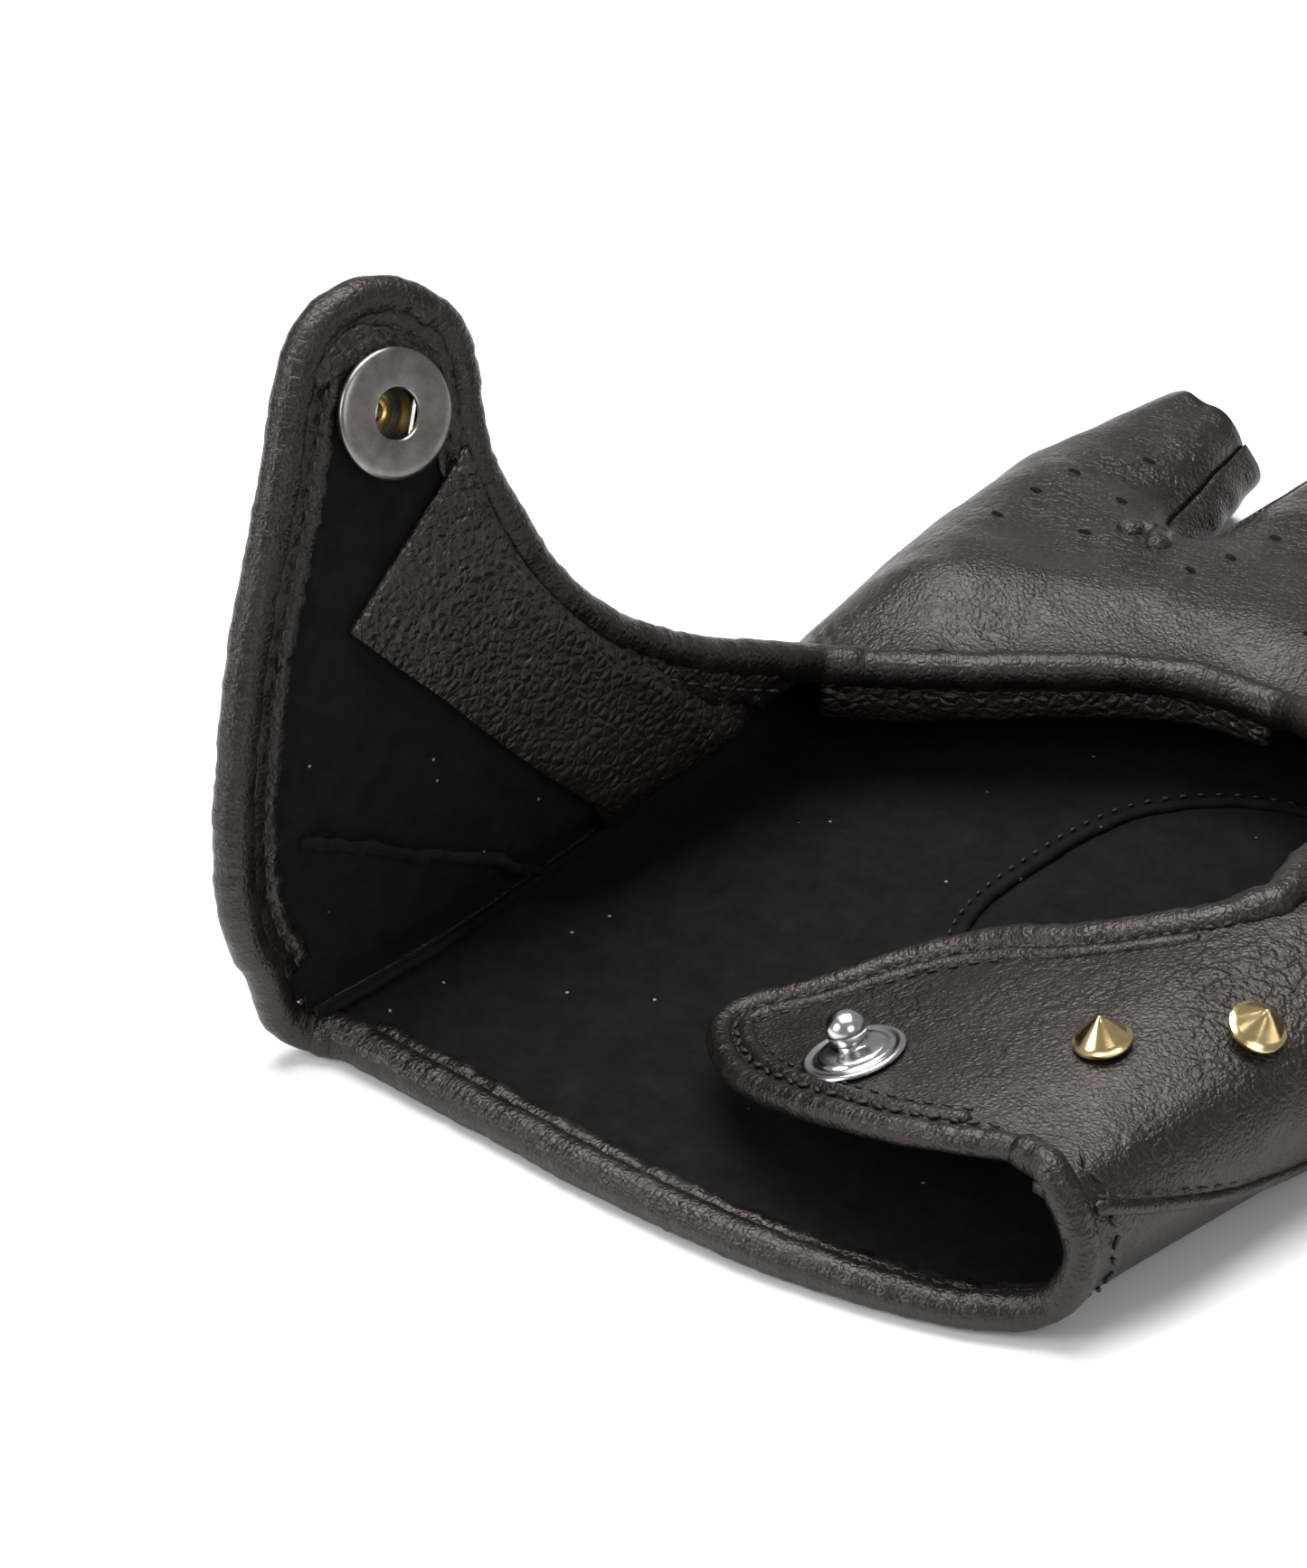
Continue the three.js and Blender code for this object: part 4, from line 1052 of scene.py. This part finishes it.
def flap_piece(name, inner, outer, rows_n, path_of, fasten, material=rolled):
    """A strip of leather laid flat between two lines, a little gathered, with a ragged outer edge."""
    a, normals_at = path_of(inner)
    b, _ = path_of(outer)
    n = len(a) - 1

    def place(u, w):
        i = int(round(w * n))
        p = a[i].lerp(b[i], u)
        ragged = 0.7 * crumple((i * 0.8, 0, 0), 1.4, 8.0) * u
        gather = 0.4 * crumple((i * 0.8, 2 * u, 0), 1.5, 2.0) - 0.45 * math.exp(-((u - 0.62) / 0.16) ** 2)
        return p + (b[i] - a[i]).normalized() * ragged + normals_at[i] * gather

    bm = placed_grid(rows_n, n, place)
    uv = bm.loops.layers.uv.active
    for f in bm.faces:
        for loop in f.loops:
            loop[uv].uv = (loop[uv].uv.y * n * 0.8 * MM, loop[uv].uv.x * 4 * MM)
    piece = finish_mesh(bm, name, (material,))
    thicken(piece, 0.5)
    fasten(piece)
    return piece


flap_piece("strap_inner_hem", 0.8, 4.3, 5, lambda off: strap_line(off, 1.05),
           lambda p: bend_with_strap(p, "leather_binding"))
line, normals = strap_line(2.6, 1.4)
piece = stitch_row("strap_stitches", line, normals, length=1.35, pitch=2.2, width=0.36)
bend_with_strap(piece, "leather_binding")

# The facing of the keyhole runs on a short way up the waist of the strap.
waist_first = next(i for i, p in enumerate(strap_edge) if p.x > 42)
flap_piece("strap_waist_facing", 0.8, 6.0, 7, lambda off: strap_line(off, 1.3, waist_first),
           lambda p: bend_with_strap(p, "leather_grain"), grain)
line, normals = strap_line(2.4, 1.95, waist_first)
piece = stitch_row("strap_waist_stitches", line, normals, length=1.5, pitch=2.1, width=0.42)
bend_with_strap(piece, "leather_binding")

# Patch of grain leather over the backs of the cone studs.
PATCH_OUTER = [(31.2, 41.4), (31.8, 34.2), (34.0, 27), (38.2, 19.8), (45, 11.6), (50.5, 4.5), (56, -1.4)]
PATCH_INNER = [(13.1, 31.7), (16.6, 26.6), (20.2, 21.7), (27.1, 11.7), (33, 4.0), (38.5, -3.2), (43.1, -8.4)]
patch_a = resample(smooth_path(PATCH_OUTER, 1.0), count=60)
patch_b = resample(smooth_path(PATCH_INNER, 1.0), count=60)


def place_patch(u, w):
    i = int(round(w * 59))
    q = patch_a[i].lerp(patch_b[i], u)
    edge = min(u, 1 - u, w, 1 - w)
    lift = 2.35 + 0.2 * crumple((q.x, q.y, 0), 9, 4.0) - 0.5 * (1 - smoothstep(0, 0.12, edge))
    return on_strap(q.x, q.y) - strap_normal(q.x, q.y) * lift


bm = placed_grid(26, 59, place_patch)
face_towards(bm, tuple(-STRAP_OUT))
patch = finish_mesh(bm, "strap_patch_leather", (grain,))
thicken(patch, 0.8, -1)
bend_with_strap(patch, "leather_grain", "strap_patch")

# ---- Bindings of the hand ----

fold_end = [on_tab(-2.1, -28.2, -0.5), on_tab(-1.6, -25.6, -0.5), on_tab(-2.0, -22.9, -0.5)]
piece = roll_piece("wrist_edge_roll", WRIST[:7] + fold_end, 2.0, seed=3.0, wrinkle=0.1, sides=18,
                   end_radius=1.75)
ride(piece, "hand", "leather_binding", "wrist_binding")
corner = [(-1.3, 41.9, 2.6), (-0.3, 41.0, 2.3), (0.9, 39.9, 2.2),
          (1.3, 38.3, 2.2), (1.38, 36.4, 2.2), (1.42, 34.9, 2.2)]
piece = roll_piece("corner_collar", corner, 2.2, seed=6.0, wrinkle=0.06)
ride(piece, "hand", "leather_binding", "corner_binding")
run_on = [on_tab(39.5, -16.0, -0.5), on_tab(36.5, -15.2, -0.5), on_tab(33.8, -13.9, -0.5)]
piece = roll_piece("keyhole_edge_roll", keyhole_path[:-1] + run_on, 1.9, seed=5.0, wrinkle=0.13, sides=18,
                   end_radius=2.15)
ride(piece, "hand", "leather_binding", "keyhole_binding")


def wrist_line(offset, height=1.5):
    path = smooth_path(WRIST[:6], 0.8)
    points, normals = [], []
    for i, p in enumerate(path):
        t = heading(path, i)
        inward = Vector((-t.y, t.x, 0)).normalized()
        rise = Vector((0, 0, height + max(p.z - 2.2, 0) * 0.6))
        points.append(Vector((p.x, p.y, 0)) + inward * offset + rise)
        normals.append(Vector((0, 0, 1)))
    return points, normals


flap_piece("wrist_inner_hem", 0.8, 4.6, 5, lambda off: wrist_line(off, 1.62),
           lambda p: ride(p, "hand", "leather_binding"))
line, normals = wrist_line(2.9, 1.95)
piece = stitch_row("wrist_stitches", line, normals, length=1.35, pitch=2.2, width=0.36)
ride(piece, "hand", "leather_binding")

# ---- Facing under the far keyhole edge ----

facing_line = smooth_path(keyhole_path[:6], 0.8)


def facing_point(i, width, lift=0.0):
    t = heading(facing_line, i)
    outward = Vector((-t.y, t.x, 0)).normalized()
    hang = Vector((0, 0, -1.2 - 0.95 * width))
    slack = 0.25 * crumple((i * 0.8, width, 0), 3.5, 6.0)
    away = 0.27 * math.cos(width) - 0.35 + 0.12 * width + slack - lift
    return facing_line[i] + outward * away + hang


def place_facing(u, w):
    i = int(round(w * (len(facing_line) - 1)))
    return facing_point(i, (5.6 - 2.2 * w) * u)


bm = placed_grid(9, len(facing_line) - 1, place_facing)
facing = finish_mesh(bm, "keyhole_facing_leather", (grain,))
thicken(facing, 0.6)
ride(facing, "hand", "leather_grain", "keyhole_facing")
line = [facing_point(i, 1.0, 0.45) for i in range(2, len(facing_line) - 1)]
piece = stitch_row("facing_stitches", line, [Vector((-0.6, -0.7, 0.2))] * len(line), length=1.5, pitch=2.1,
                   width=0.42)
ride(piece, "hand", "leather_binding")


def keyhole_line(offset, lift):
    path = smooth_path(KEYHOLE, 0.8)
    points, normals = [], []
    for i, p in enumerate(path):
        t = heading(path, i)
        outward = Vector((-t.y, t.x, 0))
        q = p + outward * offset
        points.append(Vector((q.x, q.y, back_height(q.x, q.y) - edge_sag(q.x, q.y) + lift)))
        normals.append(Vector((0, 0, 1)))
    return points, normals


line, normals = keyhole_line(2.3, 0.1)
piece = stitch_row("keyhole_stitches", line, normals, length=1.5, pitch=2.1, width=0.4, zigzag=0.2)
ride(piece, "hand", "leather_binding")

# ---- Seams inside and out ----

thumb_seam = [(47, 2.5, 1.45), (51.6, 7.3, 1.5), (59, 10.2, 1.5), (68, 10.8, 1.5), (75, 10.6, 1.5),
              (81, 9.3, 1.5), (88, 4.5, 1.5), (92, -2.2, 1.5), (93, -10, 1.5)]
piece = roll_piece("thumb_seam_ridge", thumb_seam, 0.55, wrinkle=0.3, material=suede, step=0.6, sides=10)
ride(piece, "hand", "leather_black")
line = [p + Vector((0.6, 1.5, 0)) for p in smooth_path(thumb_seam, 0.8)]
piece = stitch_row("thumb_seam_stitches", line, [Vector((0, 0, 1))] * len(line), length=0.9, pitch=1.7,
                   width=0.32)
ride(piece, "hand", "leather_black")

side_seam = [(1.8, 15.6), (7, 12.6), (12, 9.0), (17, 5.6), (22, 2.4), (28, -2.6), (34, -7.5)]
seam_path = [on_strap(s, h) - strap_normal(s, h) * 1.25 for s, h in
             [(p.x, p.y) for p in smooth_path(side_seam, 1.6)]]
wall_seam = []
for x in np.linspace(0.5, 66, 30):
    wall_seam.append((x, wall_y(float(x), SIDE_SEAM) - 1.5, SIDE_SEAM - 0.5))
piece = roll_piece("wall_seam_ridge", wall_seam, 0.5, wrinkle=0.4, material=suede, step=0.8, sides=10)
ride(piece, "hand", "leather_black")
piece = roll_piece("side_seam_edge", seam_path, 0.55, wrinkle=0.8, material=suede, step=0.6, sides=10)
bend_with_strap(piece, "leather_black")

# Outseam along the thumb side, a stitched groove below the tab.
out_line, out_normals = [], []
for x in np.linspace(16.5, 62, 60):
    s = section(float(x))
    r = s["height"] / 2
    a = math.acos(max(1 - seam_height(float(x)) / r, -1))
    n = Vector((0, -math.sin(a), -math.cos(a)))
    out_line.append(Vector((x, s["near"] + r - r * math.sin(a), r - r * math.cos(a))) + n * 0.1)
    out_normals.append(n)
piece = roll_piece("outseam_roll", [p - n * 0.25 for p, n in zip(out_line, out_normals)], 0.75,
                   wrinkle=0.15, material=nappa, sides=12)
ride(piece, "hand", "leather_black")
piece = stitch_row("outseam_stitches", [p + Vector((0, 0, 1.3)) for p in out_line], out_normals,
                   length=1.3, pitch=2.0, width=0.36)
ride(piece, "hand", "leather_black")

# The strap's wall is sewn to the back across the little-finger side.
side_line = [Vector((SPLIT_X, wall_y(SPLIT_X, z) + 0.15, z)) for z in np.linspace(15.2, 2.2, 20)]
piece = roll_piece("far_side_seam", side_line, 0.85, wrinkle=0.15, material=nappa, sides=12)
ride(piece, "hand", "leather_black")
side_normals = [Vector((0, 1, 0.12 * (p.z - 9))) for p in side_line]
piece = stitch_row("far_side_stitches", [p + Vector((1.9, 0.1, 0)) for p in side_line], side_normals,
                   length=1.3, pitch=2.0, width=0.36)
ride(piece, "hand", "leather_black")

# The tab's leather is sewn to the back across the thumb side.


def near_side_line(x):
    """Points over the rounded thumb side at x, up to the keyhole, and the directions they face."""
    s = section(x)
    r = s["height"] / 2
    points, normals = [], []
    for i in range(COLUMNS):
        p = on_section(back_section, x, i / COLUMNS, COLUMNS + 1)
        if p.y > -27.6:
            break
        points.append(p.copy())
        normals.append(Vector((0, min(p.y - s["near"] - r, 0), p.z - r)).normalized())
    return points, normals


line, normals = near_side_line(SPLIT_X)
piece = roll_piece("thumb_side_seam", [p + n * 0.05 for p, n in zip(line, normals)][::3], 0.75, wrinkle=0.15,
                   material=nappa, sides=12)
ride(piece, "hand", "leather_black")
line, normals = near_side_line(SPLIT_X + 1.9)
piece = stitch_row("thumb_side_stitches", [p + n * 0.1 for p, n in zip(line, normals)], normals, length=1.3,
                   pitch=2.0, width=0.36)
ride(piece, "hand", "leather_black")

# A column of coarse stitches stands beside the fold of the wrist edge.
column, column_normals = [], []
for a in np.linspace(0.55, 2.7, 24):
    s = section(18.4)
    r = s["height"] / 2
    n = Vector((0, -math.sin(a), -math.cos(a)))
    column.append(Vector((18.4, s["near"] + r - r * math.sin(a), r - r * math.cos(a))) + n * 0.15)
    column_normals.append(n)
piece = stitch_row("wrist_fold_stitches", column, column_normals, length=1.7, pitch=2.0, width=0.55,
                   zigzag=0.5)
ride(piece, "hand", "leather_binding")

# A scrap of thinned leather is left above the ring, under the strap's tip.


def place_scrap(u, w):
    s_at = SNAP.x - 6.2 + 9.5 * u
    h_at = SNAP.z + 5.2 + 2.9 * w * (1 - (2 * u - 1) ** 2 * 0.6)
    ragged = 0.9 * crumple((s_at, h_at, 0), 1.6, 2.0)
    q = (s_at + 0.4 * ragged, h_at + 0.5 * ragged * w)
    return on_strap(*q) - strap_normal(*q) * (1.15 + 0.5 * abs(ragged))


bm = placed_grid(22, 9, place_scrap)
face_towards(bm, tuple(-STRAP_OUT))
scrap = finish_mesh(bm, "thinned_leather_scrap", (grain,))
thicken(scrap, 0.5)
ride(scrap, "strap", "leather_grain")

# ---- Metal parts ----


def lathe_cone(name, where):
    profile = [(0.9, 0.3), (2.72, 0.3), (2.82, 0.36), (2.84, 0.52), (2.8, 0.68), (2.66, 0.78), (2.45, 0.86)]
    for t in np.linspace(0.1, 0.9, 8):
        profile.append((2.45 * (1 - t) + 0.1 * t, 0.86 + 2.3 * t + 0.05 * math.sin(math.pi * t)))
    profile += [(0.22, 3.12), (0.08, 3.19), (0.0, 3.2), (0.0, 1.6), (0.9, 1.6)]
    return turned_piece(name, profile, where, gold, 48)


def tilted(origin, turn):
    """A frame on the hand turned about the crease-like X axis."""
    m = Matrix.Rotation(turn, 4, "X")
    m.translation = origin
    return m


cone_1 = TAB_FRAME @ Matrix.Translation((13.5, -19.04, tab_drop(-19.04) - 0.2)) @ Matrix.Rotation(
    math.atan(2 * TAB_CURL * 19.04), 4, "X")
ride(lathe_cone("cone_stud_tab", cone_1), "tab", "pale_gold", "cone_stud_1")
shoulder_x, shoulder_y = 41.6, -37.26
s = section(shoulder_x)
r = s["height"] / 2
turn = math.asin((s["near"] + r - shoulder_y) / r)
cone_2 = tilted(Vector((shoulder_x, shoulder_y, r * (1 + math.cos(turn)) - 0.2)), turn)
ride(lathe_cone("cone_stud_shoulder", cone_2), "hand", "pale_gold", "cone_stud_2")
for number, (s_at, h_at) in enumerate(((1.03, 0.69), (1.25, 0.45), (1.53, 0.22)), start=3):
    s, h = s_at * SNAP.x, h_at * SNAP.z
    n = strap_normal(s, h)
    x_axis = (CREASE - n * CREASE.dot(n)).normalized()
    where = basis(x_axis, n.cross(x_axis), n, on_strap(s, h) + n * 1.0)
    ride(lathe_cone(f"cone_stud_strap_{number}", where), "strap", "pale_gold", f"cone_stud_{number}")

stud = [(1.0, 0.0), (4.75, 0.0), (4.95, 0.1), (5.02, 0.28), (4.92, 0.46), (4.7, 0.56), (4.45, 0.56),
        (4.2, 0.44), (3.85, 0.4), (3.6, 0.46), (3.45, 0.62), (3.35, 0.8), (3.1, 0.92), (2.6, 0.98),
        (2.2, 1.02), (1.75, 1.1), (1.45, 1.25), (1.32, 1.45)]
for a in np.linspace(math.radians(142), math.radians(14), 15):
    stud.append((1.95 * math.sin(a), 2.9 + 1.95 * math.cos(a) * 0.92))
stud += [(0.0, 4.72), (0.0, 1.9), (1.0, 1.9)]
ride(turned_piece("snap_stud_polished", stud, TAB_FRAME, nickel, 72), "tab", "nickel", "snap_stud")

ring = [(2.42, 1.3), (2.55, 1.17), (2.8, 1.14), (5.2, 1.14), (5.75, 1.2), (6.05, 1.32), (6.22, 1.52),
        (6.25, 1.8), (6.15, 2.1), (5.8, 2.5), (5.2, 2.7), (3.1, 2.7), (3.1, 5.7), (1.6, 5.7), (1.6, 5.3),
        (2.45, 5.3), (2.45, 2.45), (4.69, 2.45), (4.69, 1.62), (2.42, 1.62)]
ride(turned_piece("snap_ring", ring, SOCKET_FRAME, gunmetal, 96), "strap", "gunmetal", "snap_socket")
post = [(0.9, 4.95), (1.1, 4.84), (1.6, 4.82), (1.86, 4.9), (1.9, 5.0), (1.3, 5.02), (1.3, 6.3), (4.6, 6.3),
        (4.6, 6.7), (1.0, 6.7)]
ride(turned_piece("snap_post_tube", post, SOCKET_FRAME, brass, 48), "strap", "brass", "snap_cap_post")
cap = [(4.94, 4.5), (6.1, 4.5), (6.25, 4.65), (6.25, 5.5), (6.1, 5.85), (5.7, 6.8), (5.2, 7.15), (4.4, 7.45),
       (3.2, 7.65), (1.8, 7.76), (0, 7.8), (0, 7.0), (4.4, 7.0), (4.94, 6.7)]
ride(turned_piece("snap_cap_dome", cap, SOCKET_FRAME, gunmetal, 72), "strap", "gunmetal", "snap_cap")

# These pieces are carried over as they are, and only get their metal.
plain_metal = {"spring_wire_left": spring_steel, "spring_wire_right": spring_steel, "snap_stud_eyelet": brass}
plain_metal.update({f"cone_rivet_{i}": brass for i in range(1, 6)})
for name, material in plain_metal.items():
    materials = frame["nodes"][name].data.materials
    materials.clear()
    materials.append(material)

# ---- Floor, light and camera ----

bm = bmesh.new()
bmesh.ops.create_grid(bm, x_segments=1, y_segments=1, size=3.0)
paper = Finish("white_paper")
tone = paper.noise((2, 2, 2), 2)
paper.colour(paper.mix_colour(tone, (0.86, 0.86, 0.86), (0.88, 0.88, 0.88)))
paper.shader.inputs["Roughness"].default_value = 0.9
floor = finish_mesh(bm, "floor", (paper.mat,), smooth=False)

world = bpy.data.worlds.new("studio")
world.use_nodes = True
world.node_tree.nodes["Background"].inputs["Color"].default_value = (1, 1, 1, 1)
world.node_tree.nodes["Background"].inputs["Strength"].default_value = 0.32
bpy.context.scene.world = world
bpy.context.scene.view_settings.view_transform = "Standard"

TARGET = row((23.24, 19.95, 28.57))
BACK = Vector((-0.606, -0.565, 0.559)).normalized()


def area_light(name, place, size, watts):
    light = bpy.data.lights.new(name, "AREA")
    light.size = size
    light.energy = watts
    lamp = bpy.data.objects.new(name, light)
    lamp.location = place
    lamp.rotation_euler = (TARGET - Vector(place)).to_track_quat("-Z", "Y").to_euler()
    bpy.context.scene.collection.objects.link(lamp)
    return lamp


area_light("overhead_softbox", (0.1, 0.25, 0.95), 0.8, 16)
area_light("left_softbox", (-0.8, 0.35, 0.5), 0.45, 5)
area_light("front_fill", (-0.3, -0.9, 0.7), 0.6, 3)

camera_data = bpy.data.cameras.new("camera")
camera_data.sensor_fit = "HORIZONTAL"
camera_data.sensor_width = 36
camera_data.lens = 36 * 9600 / 1445
camera_data.clip_start = 0.01
camera = bpy.data.objects.new("camera", camera_data)
camera.location = TARGET + BACK * 0.8
camera.rotation_euler = BACK.to_track_quat("Z", "Y").to_euler()
bpy.context.scene.collection.objects.link(camera)
bpy.context.scene.camera = camera
